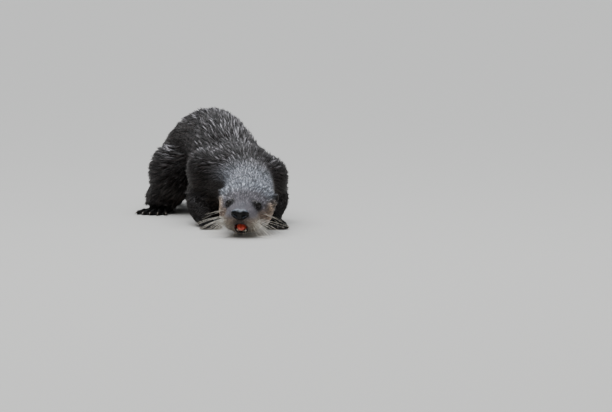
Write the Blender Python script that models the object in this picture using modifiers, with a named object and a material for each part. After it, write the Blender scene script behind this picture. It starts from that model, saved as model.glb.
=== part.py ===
"""North American river otter, life size, as a still museum-like model.

The animal stands low in front: the head hangs ahead of the forefeet, the back arches up behind the
shoulders, and the thick tail leaves the rump and lies on the floor. It faces -Y, its own left side is
at +X, and +Z is up. The solids reach the tips of the coat.

The body is modelled whole from soft masses and lofts, fused into one skin, and then parted into head,
jaw, neck, trunk, legs, feet and tail by thin cuts.
"""
import math

import bmesh
import bpy
from mathutils import Matrix, Vector

MM = 0.001

# Driving dimensions, millimetres and degrees. The working origin is on the floor, between the toes of
# the two forefeet; the whole model is moved to the middle of its own footprint at the end.
FIT_GAP = 0.4
BODY_GRAIN = {"voxel": 2.6, "smoothing": 12}
LEG_GRAIN = {"voxel": 2.0, "smoothing": 7}
SOFTENING = 0.5                    # how far each smoothing step moves a vertex to its neighbours' mean
HEAD_TRIANGLES = 1120
TRUNK_TRIANGLES = 1180
LEG_TRIANGLES = 745

HEAD_PLACE = (21.4, -55.0, 74.0)   # the point between the two ears
HEAD_YAW = 8.0                     # the nose turns to the animal's right
HEAD_PITCH = 12.0                  # and points below the horizon
HEAD_ROLL = 4.0                    # the left side of the head hangs a little lower
EYE_PLACE = (22.0, 50.0, -5.5)     # to the side, forward of the ears, up
EYE_RADIUS = 7.5
EAR_PLACE = (51.5, -3.0, -6.0)
EAR_RADII = (6.0, 10.0, 11.0)
EAR_TURN = 24.0                    # the ear faces a little forward
EAR_SPREAD = 12.0                  # and leans out
EAR_SCOOP = 0.68                   # the hollow of the ear, as a share of its size
EAR_SCOOP_PLACE = (0.9, 0.32, 0.05)   # from the ear's middle, as shares of its half sizes
NOSE_PLACE = (0.0, 89.5, -10.0)
NOSE_RADII = (16.0, 8.5, 12.0)
NOSE_NARROWING = 0.45              # how much narrower the pad is at the lip
MOUTH_PLACE = (0.0, 84.0, -38.0)
MOUTH_RADII = (13.5, 27.0, 10.5)
TONGUE_PLACE = (0.0, 72.0, -40.0)
TONGUE_RADII = (9.5, 18.0, 5.5)
JAW_LINE = -43.0                   # height of the cut between head and lower jaw, in the head's frame
JAW_BACK = 10.0                    # where that cut turns down to the throat

FORE_FOOT = {"length": 58.0, "width": 42.0, "toe_length": 22.0, "toe_radius": 4.6}
HIND_FOOT = {"length": 112.0, "width": 56.0, "toe_length": 38.0, "toe_radius": 5.8}
TOE_COUNT = 5
TOE_FAN = 19.0                     # the outer toes point this far out
TOE_ARCH = ((0.0, 6.5), (0.5, 7.0), (1.0, 4.5))   # share of the toe's length, height of its middle
SOLE_HEIGHT = 11.0
WEB_HEIGHT = 5.0

# Stations of the neck, trunk and tail: centre x, y, z, half width, half height.
SPINE = (
    (25.0, -36.0, 60.0, 45.0, 37.0),      # inside the head
    (23.0, -4.0, 68.0, 49.0, 41.0),       # nape
    (21.0, 34.0, 77.0, 51.0, 46.0),
    (11.0, 76.0, 80.0, 66.0, 58.0),       # base of the neck
    (1.0, 118.0, 87.0, 83.0, 72.0),       # withers and chest
    (-11.0, 162.0, 86.0, 80.0, 69.0),     # the dip behind the shoulders
    (-29.0, 214.0, 110.0, 73.0, 81.0),    # ribs
    (-48.0, 274.0, 133.0, 66.0, 80.0),    # top of the arched loin
    (-72.0, 330.0, 131.0, 65.0, 77.0),    # hips
    (-100.0, 382.0, 114.0, 63.0, 63.0),   # rump
    (-122.0, 420.0, 88.0, 52.0, 48.0),
    (-138.0, 456.0, 58.0, 42.0, 37.0),    # root of the tail
    (-151.0, 494.0, 36.0, 36.0, 31.0),
    (-162.0, 542.0, 24.0, 31.0, 26.0),
    (-162.0, 604.0, 19.0, 27.0, 21.5),
    (-146.0, 668.0, 14.5, 22.0, 17.0),
    (-112.0, 724.0, 10.5, 16.5, 13.0),
    (-72.0, 766.0, 7.0, 10.5, 9.0),
    (-46.0, 781.0, 4.5, 5.0, 5.0),        # tip of the tail
)

# Stations along the head, in its own frame: forward of the ears, top, bottom, half width.
SKULL = (
    (-46.0, 14.0, -46.0, 36.0),
    (-30.0, 23.0, -58.0, 50.0),
    (-6.0, 23.0, -60.0, 54.0),
    (16.0, 19.5, -60.0, 51.0),
    (34.0, 13.5, -58.0, 44.0),
    (50.0, 7.0, -54.0, 36.0),
    (66.0, 2.0, -49.0, 29.5),
    (80.0, -0.5, -42.0, 25.0),
    (91.0, -3.0, -33.0, 18.0),
)

# The legs, each from inside the trunk to its foot: balls of muscle and loose skin, then stations of
# centre x, y, z and radius, then the foot's heel, heading (0 points along -Y, positive to +X) and sizes.
LEGS = {
    "foreleg_right": {
        "muscles": (((-63.0, 122.0, 102.0), (39.0, 52.0, 46.0)),
                    ((-43.0, 126.0, 33.0), (29.0, 44.0, 26.0))),
        "bones": ((-66.0, 142.0, 88.0, 30.0), (-76.0, 122.0, 54.0, 26.0), (-76.0, 92.0, 33.0, 22.0),
                  (-67.0, 56.0, 20.0, 17.0), (-57.0, 34.0, 11.0, 12.0)),
        "foot": "forefoot_right", "heel": (-60.0, 58.0, 0.0), "heading": 11.0, "sizes": FORE_FOOT,
        "joint": ((-64.0, 50.0, 17.0), (0.0, -0.6, -0.8), 27.0),
    },
    "foreleg_left": {
        "muscles": (((60.0, 124.0, 87.0), (38.0, 52.0, 46.0)),),
        "bones": ((64.0, 142.0, 80.0, 30.0), (74.0, 122.0, 52.0, 25.0), (72.0, 92.0, 33.0, 20.0),
                  (69.0, 56.0, 20.0, 15.5), (73.0, 34.0, 11.0, 11.5)),
        "foot": "forefoot_left", "heel": (77.0, 58.0, 0.0), "heading": 0.0, "sizes": FORE_FOOT,
        "joint": ((71.0, 50.0, 17.0), (0.0, -0.6, -0.8), 27.0),
    },
    "hindleg_right": {
        "muscles": (((-135.0, 322.0, 79.0), (51.0, 72.0, 61.0)),
                    ((-156.0, 340.0, 31.0), (38.0, 58.0, 29.0))),
        "bones": ((-128.0, 330.0, 84.0, 40.0), (-146.0, 290.0, 52.0, 33.0), (-154.0, 322.0, 38.0, 27.0),
                  (-154.0, 350.0, 20.0, 18.0)),
        "foot": "hindfoot_right", "heel": (-152.0, 362.0, 0.0), "heading": -14.0, "sizes": HIND_FOOT,
        "joint": ((-140.0, 330.0, 21.0), (0.0, -0.1, -0.995), 90.0),
    },
    "hindleg_left": {
        "muscles": (((-32.0, 362.0, 80.0), (42.0, 64.0, 60.0)),),
        "bones": ((-34.0, 356.0, 84.0, 40.0), (-14.0, 320.0, 58.0, 31.0), (-8.0, 354.0, 38.0, 25.0),
                  (-6.0, 380.0, 20.0, 17.0)),
        "foot": "hindfoot_left", "heel": (-6.0, 392.0, 0.0), "heading": 6.0, "sizes": HIND_FOOT,
        "joint": ((-16.0, 362.0, 21.0), (0.0, -0.1, -0.995), 90.0),
    },
}

# The plane between head and neck: a point of it and its normal.
NAPE_CUT = ((26.0, -24.0, 60.0), (0.136, 0.969, 0.208))

# Thin cuts across the rest of the body: centre, normal, the two half sizes of the disc.
CUTS = (
    ((12.0, 60.0, 82.0), (-0.2, 0.94, 0.27), (84.0, 66.0)),              # neck from trunk
    ((-30.0, 206.0, 119.0), (-0.33, 0.9, 0.25), (92.0, 92.0)),           # chest from loin
    ((-132.0, 442.0, 70.0), (-0.34, 0.76, -0.55), (62.0, 62.0)),         # rump from tail
    ((-163.0, 560.0, 22.0), (-0.06, 0.99, -0.07), (44.0, 40.0)),         # the tail's three lengths
    ((-140.0, 683.0, 13.0), (0.45, 0.89, -0.07), (36.0, 30.0)),
)

# A point in the middle of each piece of the body, which tells the cut pieces apart.
BODY_PIECES = {
    "neck": (16.0, 20.0, 72.0),
    "trunk_front": (-6.0, 135.0, 100.0),
    "trunk_rear": (-78.0, 325.0, 130.0),
    "tail_root": (-150.0, 500.0, 38.0),
    "tail_middle": (-156.0, 622.0, 18.0),
    "tail_tip": (-94.0, 735.0, 9.0),
}
HEAD_PIECES = {
    "head": (0.0, 25.0, -12.0),
    "lower_jaw": (0.0, 48.0, -50.0),
}

COLOURS = {
    "coat": ((0.030, 0.024, 0.022), 0.45),
    "face": ((0.16, 0.145, 0.135), 0.5),
    "chin": ((0.36, 0.30, 0.24), 0.6),
    "paw": ((0.022, 0.018, 0.018), 0.4),
    "nose": ((0.012, 0.012, 0.014), 0.3),
    "eye": ((0.010, 0.007, 0.006), 0.08),
    "tongue": ((0.55, 0.09, 0.05), 0.35),
}


def material(name, colour, roughness, metallic=0.0):
    """A plain Principled material."""
    made = bpy.data.materials.new(name)
    made.use_nodes = True
    shader = made.node_tree.nodes["Principled BSDF"]
    shader.inputs["Base Color"].default_value = (*colour, 1.0)
    shader.inputs["Roughness"].default_value = roughness
    shader.inputs["Metallic"].default_value = metallic
    return made


def head_frame():
    """The head's own frame: x to the animal's left, y forward, z up, seen from between the ears."""
    turned = Matrix.Rotation(math.radians(180.0 - HEAD_YAW), 4, "Z")
    tipped = Matrix.Rotation(math.radians(-HEAD_PITCH), 4, "X")
    rolled = Matrix.Rotation(math.radians(-HEAD_ROLL), 4, "Y")
    mirrored = Matrix.Scale(-1.0, 4, (1.0, 0.0, 0.0))
    return Matrix.Translation(Vector(HEAD_PLACE) * MM) @ turned @ tipped @ rolled @ mirrored


def place_in(frame, spot):
    """A spot given in millimetres in a frame, as a world point in metres."""
    return frame @ (Vector(spot) * MM)


def new_object(name, mesh, collection):
    made = bpy.data.objects.new(name, mesh)
    collection.objects.link(made)
    return made


def ball(name, centre, radii, collection, frame=Matrix(), turn=Matrix(), segments=32, rings=20):
    """An ellipsoid at a spot of a frame."""
    mesh = bpy.data.meshes.new(name)
    shape = bmesh.new()
    bmesh.ops.create_uvsphere(shape, u_segments=segments, v_segments=rings, radius=1.0)
    size = Matrix.Diagonal((*(Vector(radii) * MM), 1.0))
    bmesh.ops.transform(shape, matrix=frame @ Matrix.Translation(Vector(centre) * MM) @ turn @ size,
                        verts=shape.verts)
    bmesh.ops.recalc_face_normals(shape, faces=shape.faces)
    shape.to_mesh(mesh)
    shape.free()
    return new_object(name, mesh, collection)


def between(before, start, end, after, share):
    """Catmull-Rom interpolation of equal-length vectors."""
    a, b, c, d = (Vector(v) for v in (before, start, end, after))
    return 0.5 * (2.0 * b + (c - a) * share + (2.0 * a - 5.0 * b + 4.0 * c - d) * share ** 2
                  + (3.0 * b - a - 3.0 * c + d) * share ** 3)


def refined(stations, steps):
    """The stations with steps - 1 more between each two, along a smooth curve."""
    last = len(stations) - 1
    rows = []
    for index in range(last):
        around = [stations[min(max(index + k, 0), last)] for k in (-1, 0, 1, 2)]
        rows += [between(*around, share=step / steps) for step in range(steps)]
    rows.append(Vector(stations[last]))
    return rows


def rings_to_mesh(name, rings, collection):
    """A closed skin over a row of rings of points."""
    shape = bmesh.new()
    made = [[shape.verts.new(point) for point in ring] for ring in rings]
    count = len(made[0])
    for ring, following in zip(made, made[1:]):
        for k in range(count):
            n = (k + 1) % count
            shape.faces.new((ring[k], ring[n], following[n], following[k]))
    shape.faces.new(made[0])
    shape.faces.new(made[-1])
    bmesh.ops.recalc_face_normals(shape, faces=shape.faces)
    mesh = bpy.data.meshes.new(name)
    shape.to_mesh(mesh)
    shape.free()
    return new_object(name, mesh, collection)


def tube(name, stations, collection, steps=5, sides=28):
    """A loft through stations of centre x, y, z, half width and half height."""
    rows = refined(stations, steps)
    rings = []
    for index, row in enumerate(rows):
        ahead = Vector(rows[min(index + 1, len(rows) - 1)][:3])
        behind = Vector(rows[max(index - 1, 0)][:3])
        along = (ahead - behind).normalized()
        side = along.cross(Vector((0.0, 0.0, 1.0))).normalized()
        up = side.cross(along)
        centre = Vector(row[:3])
        ring = []
        for k in range(sides):
            angle = math.tau * k / sides
            ring.append((centre + side * row[3] * math.cos(angle) + up * row[4] * math.sin(angle)) * MM)
        rings.append(ring)
    return rings_to_mesh(name, rings, collection)


def limb(name, stations, collection, steps=4, sides=20):
    """A round loft through stations of centre x, y, z and radius, whatever its direction."""
    rows = refined(stations, steps)
    rings = []
    for index, row in enumerate(rows):
        ahead = Vector(rows[min(index + 1, len(rows) - 1)][:3])
        behind = Vector(rows[max(index - 1, 0)][:3])
        turn = (ahead - behind).to_track_quat("Z", "X")
        ring = []
        for k in range(sides):
            angle = math.tau * k / sides
            rim = turn @ Vector((math.cos(angle), math.sin(angle), 0.0))
            ring.append((Vector(row[:3]) + rim * row[3]) * MM)
        rings.append(ring)
    return rings_to_mesh(name, rings, collection)


def skull(frame, collection):
    """The head from nape to muzzle: flat on top, full below."""
    sides = 32
    widest_share = 0.52
    flat_sides = 0.86
    flat_top = 0.92
    rings = []
    for forward, top, bottom, half_width in refined(SKULL, 4):
        widest = bottom + (top - bottom) * widest_share
        ring = []
        for k in range(sides):
            angle = math.tau * k / sides
            across, rise = math.cos(angle), math.sin(angle)
            width = half_width * math.copysign(abs(across) ** flat_sides, across)
            height = (top - widest) if rise > 0.0 else (widest - bottom)
            lift = widest + height * math.copysign(abs(rise) ** flat_top, rise)
            ring.append(place_in(frame, (width, forward, lift)))
        rings.append(ring)
    return rings_to_mesh("skull", rings, collection)


def head_masses(frame, collection):
    """Skull, bridge of the nose, chin, throat, cheeks, whisker pads and the corners of the jaw."""
    skull(frame, collection)
    ball("bridge", (0.0, 70.0, -10.5), (17.5, 27.0, 12.0), collection, frame)
    ball("chin", (0.0, 62.0, -45.0), (20.0, 27.0, 12.0), collection, frame)
    ball("throat", (0.0, 14.0, -40.0), (44.0, 48.0, 20.0), collection, frame)
    for side in (-1.0, 1.0):
        ball("cheek", (side * 31.0, 14.0, -26.0), (20.5, 38.0, 30.0), collection, frame)
        ball("pad", (side * 16.5, 74.0, -27.0), (19.5, 21.0, 15.0), collection, frame)
        ball("brow", (side * 23.0, 38.0, -3.0), (13.0, 17.0, 9.5), collection, frame)
        ball("jaw_corner", (side * 22.0, 44.0, -41.0), (14.0, 32.0, 15.0), collection, frame)


def foot_masses(heel, heading, sizes, collection):
    """A flat foot: sole, web and a fan of toes."""
    length, width, toe_length, toe_radius = (sizes[key] for key in
                                             ("length", "width", "toe_length", "toe_radius"))
    frame = Matrix.Translation(Vector(heel) * MM) @ Matrix.Rotation(math.radians(heading), 4, "Z")
    palm = (length - toe_length) / 2.0
    ball("sole", (0.0, -palm, SOLE_HEIGHT / 2.0), (width * 0.44, palm + 5.0, SOLE_HEIGHT), collection, frame)
    web = length - toe_length * 0.62
    ball("web", (0.0, -web, WEB_HEIGHT / 2.0), (width * 0.46, toe_length * 0.5, WEB_HEIGHT), collection,
         frame)
    for index in range(TOE_COUNT):
        share = index / (TOE_COUNT - 1) * 2.0 - 1.0
        angle = math.radians(share * TOE_FAN)
        ahead = Vector((math.sin(angle), -math.cos(angle), 0.0))
        shorter = toe_radius * share * share
        base = Vector((share * (width / 2.0 - toe_radius) * 0.72,
                       toe_length + toe_radius + shorter - length, 0.0))
        for step, height in TOE_ARCH:
            spot = base + ahead * toe_length * step
            ball("toe", (spot.x, spot.y, height), (toe_radius, toe_radius * 1.5, toe_radius), collection,
                 frame, Matrix.Rotation(angle, 4, "Z"), segments=16, rings=10)


def evaluated_mesh(source):
    """A copy of an object's mesh as its modifiers leave it."""
    graph = bpy.context.evaluated_depsgraph_get()
    graph.update()
    return bpy.data.meshes.new_from_object(source.evaluated_get(graph))


def fixed(source):
    """Replaces an object's mesh with its evaluated one and drops the modifiers."""
    mesh = evaluated_mesh(source)
    source.modifiers.clear()
    old, source.data = source.data, mesh
    bpy.data.meshes.remove(old)
    return source


def merged(name, pieces, collection):
    """One object that holds the meshes of many."""
    shape = bmesh.new()
    for piece in pieces:
        shape.from_mesh(piece.data)
    mesh = bpy.data.meshes.new(name)
    shape.to_mesh(mesh)
    shape.free()
    for piece in pieces:
        bpy.data.objects.remove(piece)
    return new_object(name, mesh, collection)


def fused(masses, grain):
    """One smooth closed skin round all the masses."""
    remesh = masses.modifiers.new("fuse", "REMESH")
    remesh.mode = "VOXEL"
    remesh.voxel_size = grain["voxel"] * MM
    soften = masses.modifiers.new("soften", "SMOOTH")
    soften.factor = SOFTENING
    soften.iterations = grain["smoothing"]
    return fixed(masses)


def thinned(source, triangles):
    """The same shape with about so many triangles."""
    thin = source.modifiers.new("thin", "DECIMATE")
    thin.ratio = triangles / sum(len(face.vertices) - 2 for face in source.data.polygons)
    thin.use_collapse_triangulate = True
    return fixed(source)


def half(source, name, centre, normal, side, collection):
    """What lies on one side of a plane, closed there; half the fit gap is left free."""
    shape = bmesh.new()
    shape.from_mesh(source.data)
    normal = Vector(normal).normalized()
    spot = (Vector(centre) + normal * side * FIT_GAP / 2.0) * MM
    everything = list(shape.verts) + list(shape.edges) + list(shape.faces)
    bmesh.ops.bisect_plane(shape, geom=everything, plane_co=spot, plane_no=normal,
                           clear_outer=side < 0.0, clear_inner=side > 0.0)
    bmesh.ops.holes_fill(shape, edges=[edge for edge in shape.edges if edge.is_boundary])
    bmesh.ops.recalc_face_normals(shape, faces=shape.faces)
    mesh = bpy.data.meshes.new(name)
    shape.to_mesh(mesh)
    shape.free()
    return new_object(name, mesh, collection)


def twin(source, gap, collection):
    """A copy of an object, grown by the gap, to cut a seat for it."""
    sharpest = 1.6
    shape = bmesh.new()
    shape.from_mesh(source.data)
    bmesh.ops.recalc_face_normals(shape, faces=shape.faces)
    moves = [vertex.normal * gap * MM * min(vertex.calc_shell_factor(), sharpest)
             for vertex in shape.verts]
    for vertex, move in zip(shape.verts, moves):
        vertex.co += move
    mesh = bpy.data.meshes.new(source.name + "_seat")
    shape.to_mesh(mesh)
    shape.free()
    return new_object(mesh.name, mesh, collection)


def disc(name, centre, normal, half_sizes, collection):
    """A thin round or oval cutter across a normal, as thick as the fit gap; the first half size is the
    level one."""
    mesh = bpy.data.meshes.new(name)
    shape = bmesh.new()
    bmesh.ops.create_cone(shape, cap_ends=True, segments=24, radius1=1.0, radius2=1.0, depth=1.0)
    normal = Vector(normal).normalized()
    level = normal.cross(Vector((0.0, 0.0, 1.0))).normalized()
    turn = Matrix((level, normal.cross(level), normal)).transposed().to_4x4()
    size = Matrix.Diagonal((half_sizes[0] * MM, half_sizes[1] * MM, FIT_GAP * MM, 1.0))
    bmesh.ops.transform(shape, matrix=Matrix.Translation(Vector(centre) * MM) @ turn @ size,
                        verts=shape.verts)
    bmesh.ops.recalc_face_normals(shape, faces=shape.faces)
    shape.to_mesh(mesh)
    shape.free()
    return new_object(name, mesh, collection)


def block(name, low, high, collection, frame=Matrix()):
    """A box cutter between two corners."""
    mesh = bpy.data.meshes.new(name)
    shape = bmesh.new()
    bmesh.ops.create_cube(shape, size=1.0)
    low, high = Vector(low) * MM, Vector(high) * MM
    size = Matrix.Diagonal((*(high - low), 1.0))
    bmesh.ops.transform(shape, matrix=frame @ Matrix.Translation((low + high) / 2.0) @ size,
                        verts=shape.verts)
    bmesh.ops.recalc_face_normals(shape, faces=shape.faces)
    shape.to_mesh(mesh)
    shape.free()
    return new_object(name, mesh, collection)


def carved(host, cutters):
    """Cuts the cutters out of the host, one after the other."""
    for cutter in cutters:
        cutter.hide_render = True
        cutter.display_type = "WIRE"
        cut = host.modifiers.new(cutter.name, "BOOLEAN")
        cut.object = cutter
        cut.operation = "DIFFERENCE"
        cut.solver = "EXACT"
    return fixed(host)


def islands(source):
    """The separate closed bodies of an object's mesh, as sets of vertex indices."""
    shape = bmesh.new()
    shape.from_mesh(source.data)
    shape.verts.ensure_lookup_table()
    found, seen = [], set()
    for start in shape.verts:
        if start.index in seen:
            continue
        reached, stack = {start.index}, [start]
        while stack:
            for edge in stack.pop().link_edges:
                for vertex in edge.verts:
                    if vertex.index not in reached:
                        reached.add(vertex.index)
                        stack.append(vertex)
        seen |= reached
        found.append(reached)
    shape.free()
    return found


def parted(source, names, collection):
    """Splits an object into its islands, and names each after the nearest of the named points."""
    pieces = {}
    groups = islands(source)
    if len(groups) != len(names):
        raise ValueError(f"{source.name} fell into {len(groups)} pieces, not {len(names)}")
    for group in groups:
        places = [source.data.vertices[k].co for k in group]
        low = Vector([min(place[axis] for place in places) for axis in range(3)])
        high = Vector([max(place[axis] for place in places) for axis in range(3)])
        middle = (low + high) / 2.0
        name = min(names, key=lambda known: (Vector(names[known]) * MM - middle).length)
        shape = bmesh.new()
        shape.from_mesh(source.data)
        shape.verts.ensure_lookup_table()
        bmesh.ops.delete(shape, geom=[v for v in shape.verts if v.index not in group], context="VERTS")
        mesh = bpy.data.meshes.new(name)
        shape.to_mesh(mesh)
        shape.free()
        pieces[name] = new_object(name, mesh, collection)
    if len(pieces) != len(names):
        raise ValueError(f"two pieces of {source.name} share a name: {sorted(pieces)}")
    bpy.data.objects.remove(source)
    return pieces


def make_body(frame, collection):
    """The trunk with neck and tail, and the head with its jaw, each still whole."""
    tube("spine", SPINE, collection)
    head_masses(frame, collection)
    body = fused(merged("body", list(collection.objects), collection), BODY_GRAIN)
    head = thinned(half(body, "head_whole", *NAPE_CUT, -1.0, collection), HEAD_TRIANGLES)
    trunk = thinned(half(body, "trunk_whole", *NAPE_CUT, 1.0, collection), TRUNK_TRIANGLES)
    bpy.data.objects.remove(body)
    return head, trunk


def part_head(head, frame, collection, cutters):
    """Opens the mouth and frees the lower jaw."""
    mouth = ball("mouth", MOUTH_PLACE, MOUTH_RADII, cutters, frame, segments=16, rings=10)
    front, low, wide = 112.0, -90.0, 66.0
    line = block("jaw_line", (-wide, JAW_BACK, JAW_LINE - FIT_GAP), (wide, front, JAW_LINE), cutters, frame)
    back = block("jaw_back", (-wide, JAW_BACK - FIT_GAP, low), (wide, JAW_BACK, JAW_LINE), cutters, frame)
    head = carved(head, [mouth, line, back])
    keep_largest(head, len(HEAD_PIECES))
    names = {name: place_in(frame, spot) / MM for name, spot in HEAD_PIECES.items()}
    return parted(head, names, collection)


def part_trunk(trunk, collection, cutters):
    """Parts neck, trunk and tail."""
    knives = [disc(f"cut_{index}", *cut, cutters) for index, cut in enumerate(CUTS)]
    return parted(carved(trunk, [floor_cutter(cutters), *knives]), BODY_PIECES, collection)


def floor_cutter(cutters):
    """All that reaches below the floor is cut off flat."""
    reach = 1500.0
    return block("floor", (-reach, -reach, -100.0), (reach, reach, 0.0), cutters)


def make_leg(name, parts, twin_of_body, collection, cutters):
    """A leg and its foot, trimmed where it meets the trunk."""
    begun = set(collection.objects)
    for centre, radii in parts["muscles"]:
        ball("muscle", centre, radii, collection)
    limb("bones", parts["bones"], collection)
    foot_masses(parts["heel"], parts["heading"], parts["sizes"], collection)
    masses = [piece for piece in collection.objects if piece not in begun]
    leg = fused(merged(name + "_whole", masses, collection), LEG_GRAIN)
    leg = thinned(leg, LEG_TRIANGLES)
    centre, normal, radius = parts["joint"]
    joint = disc(name + "_joint", centre, normal, (radius, radius), cutters)
    leg = carved(leg, [floor_cutter(cutters), twin_of_body, joint])
    keep_largest(leg, 2)
    heel = Vector(parts["heel"])
    ahead = Matrix.Rotation(math.radians(parts["heading"]), 3, "Z") @ Vector((0.0, -1.0, 0.0))
    names = {parts["foot"]: heel + ahead * parts["sizes"]["length"] / 2.0,
             name: Vector(parts["bones"][1][:3])}
    return parted(leg, names, collection)


def keep_largest(source, count):
    """Drops scraps that a cut leaves behind, keeping the pieces with the most vertices."""
    groups = sorted(islands(source), key=len, reverse=True)
    dropped = set().union(*groups[count:]) if len(groups) > count else set()
    shape = bmesh.new()
    shape.from_mesh(source.data)
    shape.verts.ensure_lookup_table()
    bmesh.ops.delete(shape, geom=[v for v in shape.verts if v.index in dropped], context="VERTS")
    shape.to_mesh(source.data)
    shape.free()


def ear(side, frame, collection, cutters):
    """A small round ear, flat against the head, hollowed on its forward and outer side."""
    turn = (Matrix.Rotation(math.radians(EAR_TURN * side), 4, "Z")
            @ Matrix.Rotation(math.radians(EAR_SPREAD * side), 4, "Y"))
    place = Vector((EAR_PLACE[0] * side, EAR_PLACE[1], EAR_PLACE[2]))
    radii = Vector(EAR_RADII)
    name = "ear_left" if side > 0.0 else "ear_right"
    made = ball(name, place, radii, collection, frame, turn, segments=12, rings=8)
    across, ahead, up = EAR_SCOOP_PLACE
    bowl = place + Vector((side * radii.x * across, radii.y * ahead, radii.z * up))
    scoop = ball("ear_scoop", bowl, radii * EAR_SCOOP, cutters, frame, turn, segments=9, rings=6)
    return carved(made, [scoop])


def nose_pad(frame, collection):
    """A broad nose pad, narrowing to the lip."""
    pad = ball("nose_pad", (0.0, 0.0, 0.0), NOSE_RADII, collection, segments=14, rings=9)
    place = Vector(NOSE_PLACE) * MM
    half_height = NOSE_RADII[2] * MM
    for vertex in pad.data.vertices:
        below = max(0.0, -vertex.co.z / half_height)
        vertex.co.x *= 1.0 - NOSE_NARROWING * below ** 1.5
        vertex.co = frame @ (vertex.co + place)
    if frame.determinant() < 0.0:
        pad.data.flip_normals()
    return pad


def seated(hosts, guest, cutters):
    """Cuts a seat for the guest into each host, a fit gap wider than the guest."""
    seat = twin(guest, FIT_GAP, cutters)
    for host in hosts:
        carved(host, [seat])
        keep_largest(host, 1)


def make_head_parts(pieces, frame, collection, cutters):
    """Eyes, ears, nose pad and tongue, each in its seat."""
    head_piece, jaw = pieces["head"], pieces["lower_jaw"]
    made = {}
    for side, name in ((1.0, "eye_left"), (-1.0, "eye_right")):
        place = (EYE_PLACE[0] * side, EYE_PLACE[1], EYE_PLACE[2])
        made[name] = ball(name, place, (EYE_RADIUS,) * 3, collection, frame, segments=12, rings=8)
    for side, name in ((1.0, "ear_left"), (-1.0, "ear_right")):
        made[name] = ear(side, frame, collection, cutters)
    made["nose_pad"] = nose_pad(frame, collection)
    made["tongue"] = ball("tongue", TONGUE_PLACE, TONGUE_RADII, collection, frame, segments=10, rings=7)
    for name, guest in made.items():
        seated([head_piece, jaw] if name == "tongue" else [head_piece], guest, cutters)
    return made


def painted(pieces):
    """Gives each piece its own material."""
    finishes = {"head": "face", "lower_jaw": "chin", "nose_pad": "nose", "tongue": "tongue",
                "eye_left": "eye", "eye_right": "eye"}
    for name, piece in pieces.items():
        finish = finishes.get(name, "paw" if "foot" in name else "coat")
        colour, roughness = COLOURS[finish]
        piece.data.materials.clear()
        piece.data.materials.append(material(name + "_" + finish, colour, roughness))


def centred(pieces, collection):
    """Hangs all pieces on an empty that puts the middle of their footprint at the origin."""
    places = [vertex.co for piece in pieces.values() for vertex in piece.data.vertices]
    low = Vector([min(place[axis] for place in places) for axis in range(3)])
    high = Vector([max(place[axis] for place in places) for axis in range(3)])
    anchor = bpy.data.objects.new("river_otter_anchor", None)
    collection.objects.link(anchor)
    anchor.location = (-(low.x + high.x) / 2.0, -(low.y + high.y) / 2.0, -low.z)
    for piece in pieces.values():
        piece.parent = anchor


def main():
    for old in list(bpy.data.objects):
        bpy.data.objects.remove(old)
    otter = bpy.data.collections.new("river_otter")
    cutters = bpy.data.collections.new("cutters")
    for made in (otter, cutters):
        bpy.context.scene.collection.children.link(made)
    frame = head_frame()
    head, trunk = make_body(frame, otter)
    seat = twin(trunk, FIT_GAP, cutters)
    pieces = part_head(head, frame, otter, cutters)
    pieces.update(part_trunk(trunk, otter, cutters))
    for name, parts in LEGS.items():
        pieces.update(make_leg(name, parts, seat, otter, cutters))
    pieces.update(make_head_parts(pieces, frame, otter, cutters))
    painted(pieces)
    centred(pieces, otter)


if __name__ == "__main__":
    main()
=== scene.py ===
"""The looks of the river otter: one skin, a wet coat of mesh tufts, eyes, nose, mouth, claws, whiskers.

The animal faces -Y, its own left side is at +X and the floor is at z = 0. Lengths in the tables are in
millimetres. "Working" places are counted from the floor between the toes of the forefeet, and "head"
places from the point between the ears: to the animal's left, forward, up.
"""
import math

import bmesh
import bpy
import numpy as np
from mathutils import Matrix, Vector
from mathutils.bvhtree import BVHTree
from mathutils.kdtree import KDTree


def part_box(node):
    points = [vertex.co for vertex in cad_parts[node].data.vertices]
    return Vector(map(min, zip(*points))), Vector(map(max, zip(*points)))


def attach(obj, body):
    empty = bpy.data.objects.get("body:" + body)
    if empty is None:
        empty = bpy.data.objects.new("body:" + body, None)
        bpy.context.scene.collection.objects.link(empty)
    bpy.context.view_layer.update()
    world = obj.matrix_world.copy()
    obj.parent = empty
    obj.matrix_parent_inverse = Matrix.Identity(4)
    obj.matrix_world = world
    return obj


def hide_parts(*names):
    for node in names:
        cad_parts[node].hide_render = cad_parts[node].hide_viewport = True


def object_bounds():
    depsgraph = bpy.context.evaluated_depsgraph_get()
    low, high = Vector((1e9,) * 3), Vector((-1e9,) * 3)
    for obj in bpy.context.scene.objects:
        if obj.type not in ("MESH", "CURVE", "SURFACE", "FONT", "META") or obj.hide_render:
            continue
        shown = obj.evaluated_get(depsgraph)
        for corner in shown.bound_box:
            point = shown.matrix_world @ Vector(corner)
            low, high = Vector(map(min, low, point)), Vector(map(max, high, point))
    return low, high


MM = 0.001
SEED = 20261
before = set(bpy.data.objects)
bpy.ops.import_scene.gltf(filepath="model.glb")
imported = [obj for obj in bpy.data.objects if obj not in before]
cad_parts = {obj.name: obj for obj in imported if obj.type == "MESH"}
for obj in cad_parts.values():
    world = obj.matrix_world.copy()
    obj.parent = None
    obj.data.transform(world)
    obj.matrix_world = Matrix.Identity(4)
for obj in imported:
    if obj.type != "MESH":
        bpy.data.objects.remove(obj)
CAD_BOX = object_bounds()

# ---------------------------------------------------------------- sizes shared with the CAD part
HEAD_PLACE = (21.4, -55, 74)
HEAD_YAW, HEAD_PITCH, HEAD_ROLL = 8, 12, 4
EYE_PLACE = (22, 50, -5.5)
TOE_COUNT, TOE_FAN = 5, 19
FORE_FOOT = {"length": 58, "width": 42, "toe_length": 22, "toe_radius": 4.6}
HIND_FOOT = {"length": 112, "width": 56, "toe_length": 38, "toe_radius": 5.8}

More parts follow.
